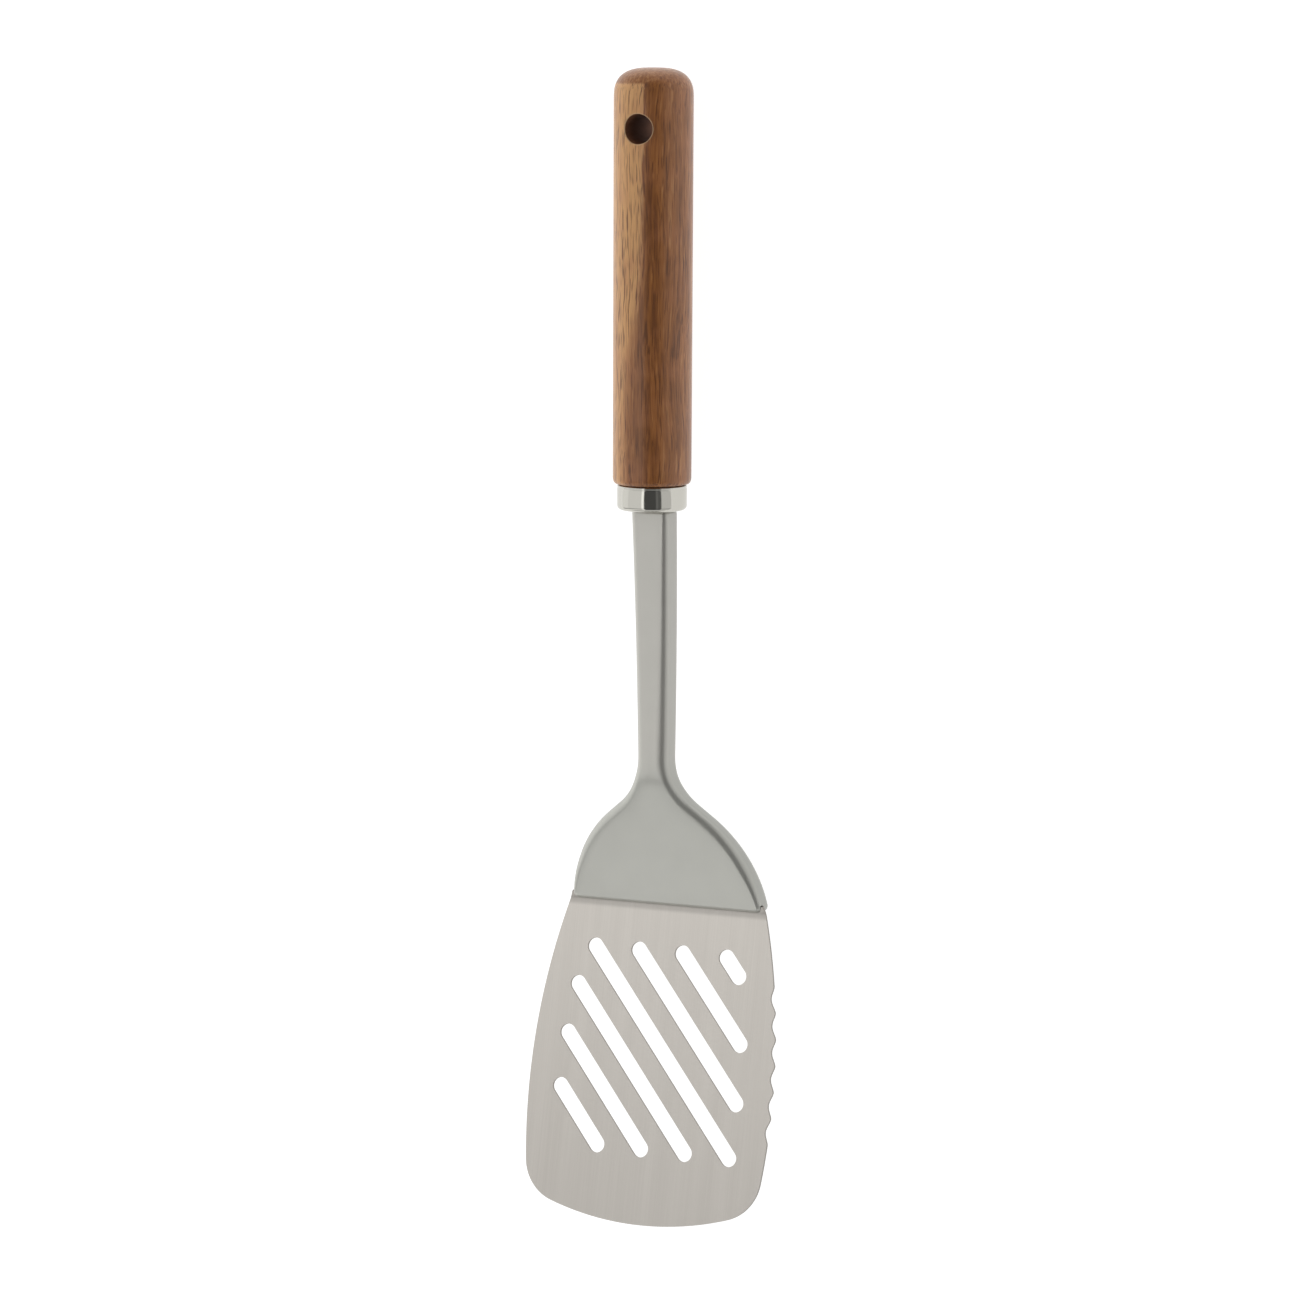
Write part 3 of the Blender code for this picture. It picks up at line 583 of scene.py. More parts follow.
def thickness(y):
    """Thickness of the moulding, from its face to its back."""
    if y > SHOULDER_TOP_Y:
        along = (NECK_TOP_Y - y) / NECK_LENGTH
        return NECK_TOP_THICKNESS + (NECK_LOW_THICKNESS - NECK_TOP_THICKNESS) * along
    along = (SHOULDER_TOP_Y - y) / SHOULDER_LENGTH
    return NECK_LOW_THICKNESS + (SHOULDER_END_THICKNESS - NECK_LOW_THICKNESS) * along


def flank(y):
    """Half width of the moulding and the angle of its side: neck, hollow arc, straight flare, round side."""
    rise_neck = SHOULDER_NECK_RADIUS * (1.0 - math.cos(SHOULDER_FLARE))
    rise_side = SHOULDER_SIDE_RADIUS * (math.cos(SHOULDER_END_FLARE) - math.cos(SHOULDER_FLARE))
    run_neck = SHOULDER_NECK_RADIUS * math.sin(SHOULDER_FLARE)
    run_side = SHOULDER_SIDE_RADIUS * (math.sin(SHOULDER_FLARE) - math.sin(SHOULDER_END_FLARE))
    rise = SHOULDER_HALF_WIDTH - NECK_LOW_HALF_WIDTH - rise_neck - rise_side
    run = rise / math.tan(SHOULDER_FLARE)
    top = SHOULDER_END_Y + run_neck + run + run_side
    past = top - y
    if past <= 0:
        along = (NECK_TOP_Y - y) / (NECK_TOP_Y - top)
        return NECK_TOP_HALF_WIDTH + (NECK_LOW_HALF_WIDTH - NECK_TOP_HALF_WIDTH) * along, 0.0
    if past <= run_neck:
        angle = math.asin(past / SHOULDER_NECK_RADIUS)
        return NECK_LOW_HALF_WIDTH + SHOULDER_NECK_RADIUS * (1.0 - math.cos(angle)), angle
    if past <= run_neck + run:
        return NECK_LOW_HALF_WIDTH + rise_neck + (past - run_neck) * math.tan(SHOULDER_FLARE), SHOULDER_FLARE
    sine = math.sin(SHOULDER_END_FLARE) + (run_neck + run + run_side - past) / SHOULDER_SIDE_RADIUS
    angle = math.asin(sine)
    inset = SHOULDER_SIDE_RADIUS * (math.cos(SHOULDER_END_FLARE) - math.cos(angle))
    return SHOULDER_HALF_WIDTH - inset, angle


def edge_radius(y):
    """Radius of the rounded edge between the face and the side wall."""
    neck = mixed(NECK_TOP_EDGE, NECK_EDGE, (NECK_TOP_Y - y) / NECK_LENGTH)
    flank_edge = mixed(neck, FLANK_EDGE, (SHOULDER_TOP_Y - y) / FLANK_EDGE_RUN)
    return mixed(HEEL_EDGE, flank_edge, (y - SHOULDER_END_Y) / HEEL_EDGE_RUN)


def moulding_ring(turn_in, wall_in, drop, wall_drop):
    """One loop round the moulding, at a share of the rounded edge and of the wall."""
    points = []

    def add(x, y, edge, inset_x, inset_y):
        place_y = y + inset_y
        tall = thickness(y) - edge - BACK_EDGE
        depth = edge * drop + tall * wall_drop[0] + BACK_EDGE * wall_drop[1]
        points.append((x - inset_x, place_y, front_height(place_y) - depth))

    def inset(edge, y):
        lean_in = (thickness(y) - edge - BACK_EDGE) * math.tan(MOULD_DRAFT)
        return edge * turn_in + lean_in * wall_in[0] + BACK_EDGE * wall_in[1]

    top = NECK_TOP_Y
    corner = mixed(HEEL_CORNER / 2, INNER_CORNER, turn_in)
    wide = flank(top)[0]
    start = NECK_END_EDGE * turn_in + BACK_EDGE * wall_in[1]
    side = inset(NECK_TOP_EDGE, top)
    for k in range(END_STEPS):
        add((wide - side - corner) * k / END_STEPS, top, NECK_END_EDGE, 0.0, -start)
    for angle in arc(TOP_CORNER_STEPS, 90.0, 0.0):
        share = math.cos(angle)
        add(wide - side - corner * (1.0 - math.cos(angle)), top - start - corner * (1.0 - math.sin(angle)),
            mixed(NECK_END_EDGE, NECK_TOP_EDGE, share), 0.0, 0.0)
    low_corner = mixed(HEEL_CORNER, INNER_CORNER, turn_in)
    bottom = SHOULDER_END_Y - HEEL_LIP + HEEL_EDGE * turn_in + BACK_EDGE * wall_in[1]
    low_y = SHOULDER_END_Y - HEEL_LIP + HEEL_CORNER * (1.0 + math.sin(SHOULDER_END_FLARE))
    high_y = top - 2.0 * NECK_EDGE
    for k in range(FLANK_STEPS + 1):
        y = high_y + (low_y - high_y) * k / FLANK_STEPS
        half, angle = flank(y)
        edge = edge_radius(y)
        amount = inset(edge, y)
        add(half, y, edge, amount * math.cos(angle), -amount * math.sin(angle))
    edge_x = points[-1][0]
    for angle in arc(HEEL_CORNER_STEPS, 0.0, -90.0)[1:]:
        add(edge_x - low_corner * (1.0 - math.cos(angle)), bottom + low_corner * (1.0 + math.sin(angle)),
            HEEL_EDGE, 0.0, 0.0)
    across = edge_x - low_corner
    for k in range(1, END_STEPS + 1):
        add(across * (1.0 - k / END_STEPS), bottom, HEEL_EDGE, 0.0, 0.0)
    return points + [(-x, y, z) for x, y, z in reversed(points[1:-1])]


def moulding_skin():
    """The moulding's outside, as loops from the face's edge round to the back's edge, then closed."""
    loops = []
    for angle in arc(FACE_EDGE_STEPS, CROWN_TILT, 90.0):
        loops.append(moulding_ring(1.0 - math.sin(angle), (1.0, 0.0), 1.0 - math.cos(angle), (0.0, 0.0)))
    for k in range(1, WALL_STEPS + 1):
        loops.append(moulding_ring(0.0, (1.0 - k / WALL_STEPS, 0.0), 1.0, (k / WALL_STEPS, 0.0)))
    for angle in arc(BACK_EDGE_STEPS)[1:]:
        loops.append(moulding_ring(0.0, (0.0, 1.0 - math.cos(angle)), 1.0, (1.0, math.sin(angle))))
    bm = bmesh.new()
    rows = ring_walls(bm, loops)
    half = len(rows[0]) // 2

    # The face and the back: spans from one side to the other, between the straight edges at the two ends
    for row, crown in ((rows[0], FACE_CROWN), (rows[-1], 0.0)):
        spans = [[row[k] for k in range(-END_STEPS, END_STEPS + 1)]]
        for k in range(END_STEPS + 1, half - END_STEPS):
            left, right = row[-k].co, row[k].co
            from_end = mixed(0.0, 1.0, min(row[0].co.y - left.y, left.y - row[half].co.y) / CROWN_FADE)
            rise = 4.0 * crown * from_end ** 2 * (3.0 - 2.0 * from_end)
            inner = [left.lerp(right, share) + Vector((0, 0, rise * share * (1.0 - share)))
                     for share in np.linspace(0.0, 1.0, 2 * END_STEPS + 1)[1:-1]]
            spans.append([row[-k], *(bm.verts.new(point) for point in inner), row[k]])
        spans.append([row[half - k] for k in range(-END_STEPS, END_STEPS + 1)])
        for span, after in zip(spans, spans[1:]):
            for k in range(2 * END_STEPS):
                bm.faces.new((span[k], span[k + 1], after[k + 1], after[k]))
    return closed_mesh(bpy.data.meshes.new("moulding"), bm)


def satin_nylon():
    """Glass-filled nylon with a little silver pigment, moulded in a spark-eroded tool: satin and even, with
    painted shade on its walls and a painted reflection that tints its shoulder.
    """
    material, tree, shader, place = new_material("satin_silver_grey_nylon", 0.3, 0.6)
    xyz = add_node(tree, "ShaderNodeSeparateXYZ", {0: place})
    # Painted reflection: the shoulder is tinted greener and a shade darker than the neck
    share = add_node(tree, "ShaderNodeMapRange", {
        "Value": xyz.outputs["Y"], "From Min": SHOULDER_TOP_Y + 6 * MM,
        "From Max": SHOULDER_TOP_Y - 10 * MM}, interpolation_type="SMOOTHSTEP")
    cloud = add_node(tree, "ShaderNodeTexNoise", {"Vector": place, "Scale": 1 / (9 * MM), "Detail": 3.0})
    base = add_node(tree, "ShaderNodeMix", {
        0: share, 6: linear("#c6c4bd"), 7: linear("#c0c0b9")}, data_type="RGBA")
    varied = add_node(tree, "ShaderNodeMapRange", {"Value": cloud, "To Min": 0.96, "To Max": 1.04})
    base = add_node(tree, "ShaderNodeVectorMath", {0: base.outputs[2], "Scale": varied}, operation="SCALE")

    # Painted shade: the walls, which face sideways, are painted darker than the face
    facing = add_node(tree, "ShaderNodeNewGeometry")
    facing = add_node(tree, "ShaderNodeSeparateXYZ", {0: facing.outputs["Normal"]})
    facing = add_node(tree, "ShaderNodeMath", {0: facing.outputs["Z"]}, operation="ABSOLUTE")
    painted_wall_shade = add_node(tree, "ShaderNodeMapRange", {
        "Value": facing, "From Min": 0.1, "From Max": 0.85, "To Min": 0.72})
    base = add_node(tree, "ShaderNodeVectorMath", {0: base, "Scale": painted_wall_shade}, operation="SCALE")
    tree.links.new(base.outputs[0], shader.inputs["Base Color"])
    grain = add_node(tree, "ShaderNodeTexNoise", {"Vector": place, "Scale": 1 / (0.22 * MM), "Detail": 2.0})
    bump = add_node(tree, "ShaderNodeBump", {"Height": grain, "Strength": 0.25, "Distance": 0.02 * MM})
    tree.links.new(bump.outputs[0], shader.inputs["Normal"])
    return material


# Blade
# Stamped from 1 mm stainless sheet, brushed along its length, and bent once at the heel. Its right edge is
# scalloped, seven slots let fat run off, and its root has two key holes that the moulding runs through.
BEND_RADIUS = 5.0 * MM
HEEL_REACH = 0.52 * MM
ROOT_FIT = 0.15 * MM
BLADE_LEAN = math.radians(13.3)
BLADE_LENGTH = 100.9 * MM
BLADE_HALF_WIDTH = 41.75 * MM
BLADE_WIDEST_AT = 59.0 * MM
BLADE_SIDE_RADIUS = 217.0 * MM
BLADE_TIP_RADIUS = 99.0 * MM
BLADE_CORNER_RADIUS = 14.5 * MM
BEND_ANGLE = SHOULDER_LEAN + BLADE_LEAN
HALF_BEND = BEND_RADIUS * BEND_ANGLE / 2
HEEL_Y = SHOULDER_END_Y - FIT - HEEL_REACH
HEEL_Z = front_height(HEEL_Y) - BLADE_DEPTH / math.cos(SHOULDER_LEAN)
EAR_HEIGHT = 2.6 * MM
ROOT_LENGTH = 35.0 * MM
ROOT_HALF_WIDTH = 27.0 * MM
ROOT_STRAIGHT = 8.0 * MM
ROOT_TOP_HALF_WIDTH = 7.0 * MM
KEY_HOLE_RADIUS = 3.0 * MM
KEY_HOLE_SPREAD = 15.0 * MM
KEY_HOLE_AT = 11.0 * MM
SCALLOP_COUNT = 6
SCALLOP_FIRST_AT = 26.4 * MM
SCALLOP_PITCH = 8.25 * MM
SCALLOP_DEPTH = 1.25 * MM
SCALLOP_FULLNESS = 0.8
SLOT_WIDTH = 5.4 * MM
SLOT_PITCH = 11.55 * MM
SLOT_ANGLE = math.radians(50.0)
SLOT_MIDDLE_OFFSET = 27.35 * MM
SLOT_FIELD_TOP = 12.6 * MM
SLOT_FIELD_BOTTOM = 79.1 * MM
SLOT_LEFT_MARGIN = 9.2 * MM
SLOT_RIGHT_MARGIN = 10.4 * MM
HOLE_STEPS = 64
BEND_STEPS = 8
BLADE_SIDE_STEPS = 170
BLADE_CORNER_STEPS = 24
BLADE_TIP_STEPS = 30
BAR_LAP = 13.0 * MM
BAR_TOP_Y = NECK_TOP_Y + 4.0 * MM
BAR_STEPS = 40


def bent(x, along, lift):
    """Where a point of the flat sheet goes once it is bent. along is 0 at the heel, lift is to the front."""
    root_way = Vector((0, -math.cos(SHOULDER_LEAN), -math.sin(SHOULDER_LEAN)))
    root_up = Vector((0, -math.sin(SHOULDER_LEAN), math.cos(SHOULDER_LEAN)))
    start = Vector((x, HEEL_Y, HEEL_Z)) - root_way * BEND_RADIUS * math.tan(BEND_ANGLE / 2)
    if along <= -HALF_BEND:
        return start + root_way * (along + HALF_BEND) + root_up * lift
    angle = SHOULDER_LEAN - min((along + HALF_BEND) / BEND_RADIUS, BEND_ANGLE)
    up = Vector((0, -math.sin(angle), math.cos(angle)))
    way = Vector((0, -math.cos(angle), -math.sin(angle)))
    centre = start + root_up * BEND_RADIUS
    return centre - up * (BEND_RADIUS - lift) + way * max(along - HALF_BEND, 0.0)


def side_x(along):
    """Half width of the blade, a long arc."""
    run = math.sqrt(BLADE_SIDE_RADIUS ** 2 - (along - BLADE_WIDEST_AT) ** 2)
    return BLADE_HALF_WIDTH - BLADE_SIDE_RADIUS + run


def corner_circle():
    """Centres of the corner's circle, of the side arc and of the tip arc, which touch."""
    side = Vector((BLADE_HALF_WIDTH - BLADE_SIDE_RADIUS, BLADE_WIDEST_AT))
    tip = Vector((0.0, BLADE_LENGTH - BLADE_TIP_RADIUS))
    to_side = BLADE_SIDE_RADIUS - BLADE_CORNER_RADIUS
    to_tip = BLADE_TIP_RADIUS - BLADE_CORNER_RADIUS
    apart = tip - side
    reach = (to_side ** 2 - to_tip ** 2 + apart.length ** 2) / (2 * apart.length)
    across = Vector((-apart.y, apart.x)).normalized()
    return side + apart.normalized() * reach + across * math.sqrt(to_side ** 2 - reach ** 2), side, tip


def root_side(gap):
    """Right edge of the root, from its top to its ear's corner."""
    return [(ROOT_TOP_HALF_WIDTH + gap, -ROOT_LENGTH - gap), (ROOT_HALF_WIDTH + gap, -ROOT_STRAIGHT),
            (ROOT_HALF_WIDTH + gap, -EAR_HEIGHT - gap), (side_x(-EAR_HEIGHT) + gap, -EAR_HEIGHT - gap)]


def blade_side():
    """Right edge of the blade without its scallops, from the heel to the middle of the tip."""
    centre, side, tip = corner_circle()
    side_end = side + (centre - side).normalized() * BLADE_SIDE_RADIUS
    tip_start = tip + (centre - tip).normalized() * BLADE_TIP_RADIUS
    points = [(side_x(side_end.y * k / BLADE_SIDE_STEPS), side_end.y * k / BLADE_SIDE_STEPS)
              for k in range(BLADE_SIDE_STEPS)]
    for middle, radius, first, last, count in (
            (centre, BLADE_CORNER_RADIUS, side_end - centre, tip_start - centre, BLADE_CORNER_STEPS),
            (tip, BLADE_TIP_RADIUS, tip_start - tip, Vector((0.0, 1.0)), BLADE_TIP_STEPS)):
        start, end = math.atan2(first.y, first.x), math.atan2(last.y, last.x)
        for k in range(count):
            angle = start + (end - start) * k / count
            points.append((middle.x + radius * math.cos(angle), middle.y + radius * math.sin(angle)))
    return points + [(0.0, BLADE_LENGTH)]


def slot_spans():
    """Middle and length of each slot, between the edges of the slotted field. The shortest are left out."""
    way = Vector((math.cos(SLOT_ANGLE), math.sin(SLOT_ANGLE)))
    across = Vector((-way.y, way.x))
    step = FIT / 2
    reach = math.ceil(BLADE_LENGTH / step)
    rows = math.ceil(BLADE_LENGTH / SLOT_PITCH)
    spans = []
    for row in range(-rows, rows + 1):
        inside = []
        for k in range(-reach, reach + 1):
            tip = across * (SLOT_MIDDLE_OFFSET + row * SLOT_PITCH) + way * (k * step)
            if not SLOT_FIELD_TOP <= tip.y <= SLOT_FIELD_BOTTOM:
                continue
            side = side_x(min(tip.y, BLADE_WIDEST_AT))
            if SLOT_LEFT_MARGIN - side <= tip.x <= side - SLOT_RIGHT_MARGIN:
                inside.append(tip)
        if inside and (inside[-1] - inside[0]).length > 2 * SLOT_WIDTH:
            spans.append(((inside[0] + inside[-1]) / 2, (inside[-1] - inside[0]).length - SLOT_WIDTH))
    return spans


def blank_mesh(name, side, other_side, holes):
    """A flat outline from its two sides, and a loose point for each hole with its radius and its length."""
    outline = [(x, y, 0.0) for x, y in side] + [(-x, y, 0.0) for x, y in reversed(other_side)]
    mesh = bpy.data.meshes.new(name)
    edges = [(k, (k + 1) % len(outline)) for k in range(len(outline))]
    mesh.from_pydata(outline + [(middle.x, middle.y, 0.0) for middle, _, _ in holes], edges, [])
    radii = mesh.attributes.new("hole_radius", "FLOAT", "POINT")
    lengths = mesh.attributes.new("slot_length", "FLOAT", "POINT")
    for k, (_, radius, length) in enumerate(holes, len(outline)):
        radii.data[k].value = radius
        lengths.data[k].value = length
    return mesh


def stamping_tree():
    """Geometry Nodes that stamp a blank: scallops along its right edge, and a round or long hole at each
    point."""
    tree, given = new_tree("stamping", (
        ("Blank", "Geometry"), ("Slot Angle", "Float"), ("Scallop Depth", "Float"),
        ("Scallop Pitch", "Float"), ("Scallop Fullness", "Float"), ("Scallops Start", "Float"),
        ("Scallops End", "Float"), ("Hole Steps", "Int"), ("Finish", "Material")))
    radius = add_node(tree, "GeometryNodeInputNamedAttribute", {"Name": "hole_radius"}, data_type="FLOAT")
    length = add_node(tree, "GeometryNodeInputNamedAttribute", {"Name": "slot_length"}, data_type="FLOAT")
    is_hole = add_node(tree, "FunctionNodeCompare", {0: radius, 1: 0.0}, data_type="FLOAT",
                       operation="GREATER_THAN")
    parts = add_node(tree, "GeometryNodeSeparateGeometry", {
        "Geometry": given.outputs["Blank"], "Selection": is_hole}, domain="POINT")

    # Scallops: a raised cosine taken off the right edge between the two ends
    start = given.outputs["Scallops Start"]
    place = add_node(tree, "GeometryNodeInputPosition")
    xyz = add_node(tree, "ShaderNodeSeparateXYZ", {0: place})
    wave = xyz.outputs["Y"]
    for operation, *values in (
            ("SUBTRACT", start), ("DIVIDE", given.outputs["Scallop Pitch"]), ("MULTIPLY", math.tau),
            ("COSINE",), ("MULTIPLY_ADD", -0.5, 0.5), ("POWER", given.outputs["Scallop Fullness"]),
            ("MULTIPLY", given.outputs["Scallop Depth"]), ("MULTIPLY", -1.0)):
        wave = add_node(tree, "ShaderNodeMath", {0: wave, **dict(enumerate(values, 1))}, operation=operation)
    offset = add_node(tree, "ShaderNodeCombineXYZ", {"X": wave})
    chosen = True
    for value, operation, limit in (
            (xyz.outputs["Y"], "GREATER_THAN", start),
            (xyz.outputs["Y"], "LESS_THAN", given.outputs["Scallops End"]),
            (xyz.outputs["X"], "GREATER_THAN", 0.0)):
        within = add_node(tree, "FunctionNodeCompare", {0: value, 1: limit}, data_type="FLOAT",
                          operation=operation)
        chosen = add_node(tree, "FunctionNodeBooleanMath", {0: within, 1: chosen}, operation="AND")
    waved = add_node(tree, "GeometryNodeSetPosition", {
        "Geometry": parts.outputs["Inverted"], "Selection": chosen, "Offset": offset})
    outline = add_node(tree, "GeometryNodeMeshToCurve", {"Mesh": waved})

    # Holes: a circle on each point, whose two halves are then drawn apart by the slot's length
    slant = given.outputs["Slot Angle"]
    sides = given.outputs["Hole Steps"]
    half_step = add_node(tree, "ShaderNodeMath", {0: math.pi, 1: sides}, operation="DIVIDE")
    half_step = add_node(tree, "ShaderNodeCombineXYZ", {"Z": half_step})
    circle = add_node(tree, "GeometryNodeCurvePrimitiveCircle", {"Resolution": sides, "Radius": 1.0})
    circle = add_node(tree, "GeometryNodeTransform", {"Geometry": circle, "Rotation": half_step})
    end = add_node(tree, "ShaderNodeMath", {0: xyz.outputs["X"]}, operation="SIGN")
    circle = add_node(tree, "GeometryNodeStoreNamedAttribute", {
        "Geometry": circle, "Name": "slot_end", "Value": end}, data_type="FLOAT", domain="POINT")
    points = add_node(tree, "GeometryNodeMeshToPoints", {"Mesh": parts.outputs["Selection"]})
    angle = add_node(tree, "ShaderNodeCombineXYZ", {"Z": slant})
    holes = add_node(tree, "GeometryNodeInstanceOnPoints", {
        "Points": points, "Instance": circle, "Rotation": angle, "Scale": radius})
    holes = add_node(tree, "GeometryNodeRealizeInstances", {"Geometry": holes})
    end = add_node(tree, "GeometryNodeInputNamedAttribute", {"Name": "slot_end"}, data_type="FLOAT")
    stretch = add_node(tree, "ShaderNodeMath", {0: end, 1: length}, operation="MULTIPLY")
    stretch = add_node(tree, "ShaderNodeMath", {0: stretch, 1: 0.5}, operation="MULTIPLY")
    stretch = add_node(tree, "ShaderNodeCombineXYZ", {"X": stretch})
    stretch = add_node(tree, "ShaderNodeVectorRotate", {"Vector": stretch, "Angle": slant},
                       rotation_type="Z_AXIS")
    holes = add_node(tree, "GeometryNodeSetPosition", {"Geometry": holes, "Offset": stretch})
    both = add_node(tree, "GeometryNodeJoinGeometry")
    for curves in (outline, holes):
        tree.links.new(curves.outputs[0], both.inputs[0])
    filled = add_node(tree, "GeometryNodeFillCurve", {"Curve": both}, mode="TRIANGLES")
    return end_tree(tree, given, filled)


STAMPING = stamping_tree()


def stamped(name, side, other_side, holes, half_thickness, finishes=(None,), scallop_depth=0.0):
    """Stamps a blank, scores it where it will bend, gives it its thickness and bends it. finishes are the
    face's material and, where the walls of its edges and holes have their own, theirs."""
    start = SCALLOP_FIRST_AT - SCALLOP_PITCH / 2
    flat = run_tree(name, blank_mesh(name, side, other_side, holes), STAMPING, {
        "Slot Angle": SLOT_ANGLE, "Scallop Depth": scallop_depth, "Scallop Pitch": SCALLOP_PITCH,
        "Scallop Fullness": SCALLOP_FULLNESS, "Scallops Start": start,
        "Scallops End": start + SCALLOP_COUNT * SCALLOP_PITCH, "Hole Steps": HOLE_STEPS,
        "Finish": finishes[0]})
    for wall_finish in finishes[1:]:
        flat.materials.append(wall_finish)
    bm = bmesh.new()
    bm.from_mesh(flat)
    bmesh.ops.remove_doubles(bm, verts=bm.verts, dist=MERGE)
    for k in range(BEND_STEPS + 1):
        along = -HALF_BEND + 2 * HALF_BEND * k / BEND_STEPS
        bmesh.ops.bisect_plane(bm, geom=bm.verts[:] + bm.edges[:] + bm.faces[:], dist=MERGE / 10,
                               plane_co=(0, along, 0), plane_no=(0, 1, 0))

    # The walls are made one by one, because an extrusion lists them in another order each run
    rims = [edge for edge in bm.edges if edge.is_boundary]
    backs = bm.faces[:]
    front = {vert: bm.verts.new(vert.co) for vert in bm.verts[:]}
    for face in backs:
        bm.faces.new([front[vert] for vert in face.verts])
    for edge in rims:
        first, second = edge.verts
        wall = bm.faces.new((first, second, front[second], front[first]))
        wall.material_index = len(finishes) - 1
    for vert, facing in front.items():
        facing.co = bent(*vert.co.xy, half_thickness)
        vert.co = bent(*vert.co.xy, -half_thickness)
    return closed_mesh(flat, bm)


def key_holes(gap):
    """The root's two key holes, as stamped blanks hold their holes, smaller by a gap."""
    return [(Vector((side * KEY_HOLE_SPREAD, -KEY_HOLE_AT)), KEY_HOLE_RADIUS - gap, 0.0) for side in (-1, 1)]


def root_space():
    """The space that the root takes in the moulding, open at the heel, with pins left in its key holes."""
    past_end = 4 * FIT
    side = root_side(FIT)
    side.append((side_x(past_end) + FIT, past_end))
    return stamped("root_space", side, side, key_holes(FIT), SHEET / 2 + ROOT_FIT)


def bar_space():
    """The space that the bar takes in the moulding, down to its lap on the root."""
    end = HEEL_Y + (ROOT_LENGTH - BAR_LAP) * math.cos(SHOULDER_LEAN) - FIT
    stations = [mixed(BAR_TOP_Y, end, k / BAR_STEPS) for k in range(BAR_STEPS + 1)]
    return skin([[(x, y, core_height(y) + z) for x, z in bar_corners()] for y in stations])


def brushed_steel():
    """Stainless sheet, brushed along its length with a fine belt: its streaks spread light across it."""
    material, tree, shader, place = new_material("brushed_stainless_sheet", 0.34, 1.0)
    brushed = add_node(tree, "ShaderNodeMapping", {
        "Vector": place, "Scale": (1 / (0.3 * MM), 1 / (45 * MM), 1 / (45 * MM))})
    streaks = add_node(tree, "ShaderNodeTexNoise", {
        "Vector": brushed, "Scale": 1.0, "Detail": 4.0, "Roughness": 0.65})
    wide = add_node(tree, "ShaderNodeMapping", {
        "Vector": place, "Scale": (1 / (5.0 * MM), 1 / (90 * MM), 1 / (90 * MM))})
    wide = add_node(tree, "ShaderNodeTexNoise", {"Vector": wide, "Scale": 1.0, "Detail": 2.0})
    tone = add_node(tree, "ShaderNodeMath", {0: wide, 1: 0.6, 2: streaks}, operation="MULTIPLY_ADD")
    colour = add_node(tree, "ShaderNodeValToRGB", {0: tone})
    ramp = colour.color_ramp
    ramp.elements[0].position = 0.45
    ramp.elements[0].color = linear("#c5c0b9")
    ramp.elements[1].color = linear("#d0cbc4")

    # Painted shade: it is painted a little darker towards the tip, and a painted shadow lies in a strip
    # along the heel, under the moulding's edge
    along = add_node(tree, "ShaderNodeSeparateXYZ", {0: place})
    painted_tip_shade = add_node(tree, "ShaderNodeMapRange", {
        "Value": along.outputs["Y"], "From Min": HEEL_Y - BLADE_LENGTH, "From Max": HEEL_Y, "To Min": 0.82})
    painted_heel_shadow = add_node(tree, "ShaderNodeMapRange", {
        "Value": along.outputs["Y"], "From Min": HEEL_Y - 2.2 * MM, "From Max": HEEL_Y - 0.7 * MM,
        "To Min": 1.0, "To Max": 0.75}, interpolation_type="SMOOTHSTEP")
    # The painted tip shade and the painted heel shadow, together
    level = add_node(tree, "ShaderNodeMath", {0: painted_tip_shade, 1: painted_heel_shadow}, operation="MULTIPLY")
    colour = add_node(tree, "ShaderNodeVectorMath", {0: colour, "Scale": level}, operation="SCALE")
    tree.links.new(colour.outputs[0], shader.inputs["Base Color"])
    gloss = add_node(tree, "ShaderNodeMapRange", {
        "Value": streaks, "From Min": 0.3, "From Max": 0.7, "To Min": 0.3, "To Max": 0.4})
    tree.links.new(gloss.outputs[0], shader.inputs["Roughness"])
    bump = add_node(tree, "ShaderNodeBump", {"Height": streaks, "Strength": 0.3, "Distance": 0.02 * MM})
    tree.links.new(bump.outputs[0], shader.inputs["Normal"])
    return material


def shaded_sheared_wall():
    """The punched and sheared walls of the same sheet: torn matt, and painted darker than its faces, as
    shade on the walls.
    """
    material, tree, shader, place = new_material("sheared_stainless_wall_painted_dark", 0.5, 1.0)
    torn = add_node(tree, "ShaderNodeTexNoise", {"Vector": place, "Scale": 1 / (0.5 * MM), "Detail": 2.0})
    colour = add_node(tree, "ShaderNodeMix", {
        0: torn, 6: linear("#85807a"), 7: linear("#a39d96")}, data_type="RGBA")
    tree.links.new(colour.outputs[2], shader.inputs["Base Color"])
    return material


blade_holes = [(middle, SLOT_WIDTH / 2, length) for middle, length in slot_spans()] + key_holes(0.0)
edge = root_side(0.0) + blade_side()
blade = stamped("blade", edge, edge[:-1], blade_holes, SHEET / 2, (brushed_steel(), shaded_sheared_wall()),
                SCALLOP_DEPTH)
place_piece("stamped_blade", blade, "slotted_blade")

# The moulding is cut to the root and the bar that it is moulded over
moulding = moulding_skin()
moulding.materials.append(satin_nylon())
moulding = cut_out(moulding, [root_space(), bar_space()])
place_piece("moulded_neck", moulding, "neck_and_shoulder", 35.0)

# Core bar
# Hot-rolled steel strip, cropped to length. It is spot-welded to the blade's root, moulded into the neck and
# glued into the handle, so it shows on no side. The frame's own solid is right as it is.


def rolled_strip():
    """Bare rolled steel: grey, with fine lines along it from the rolls."""
    material, tree, shader, place = new_material("bare_rolled_steel", 0.45, 1.0)
    lines = stretched_noise(tree, place, 0.4 * MM, 30 * MM, 0.0, 3.0)
    colour = add_node(tree, "ShaderNodeMix", {
        0: lines, 6: linear("#8f8d8a"), 7: linear("#b5b3af")}, data_type="RGBA")
    tree.links.new(colour.outputs[2], shader.inputs["Base Color"])
    return material


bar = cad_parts["core_bar"]
bar.data.materials.clear()
bar.data.materials.append(rolled_strip())

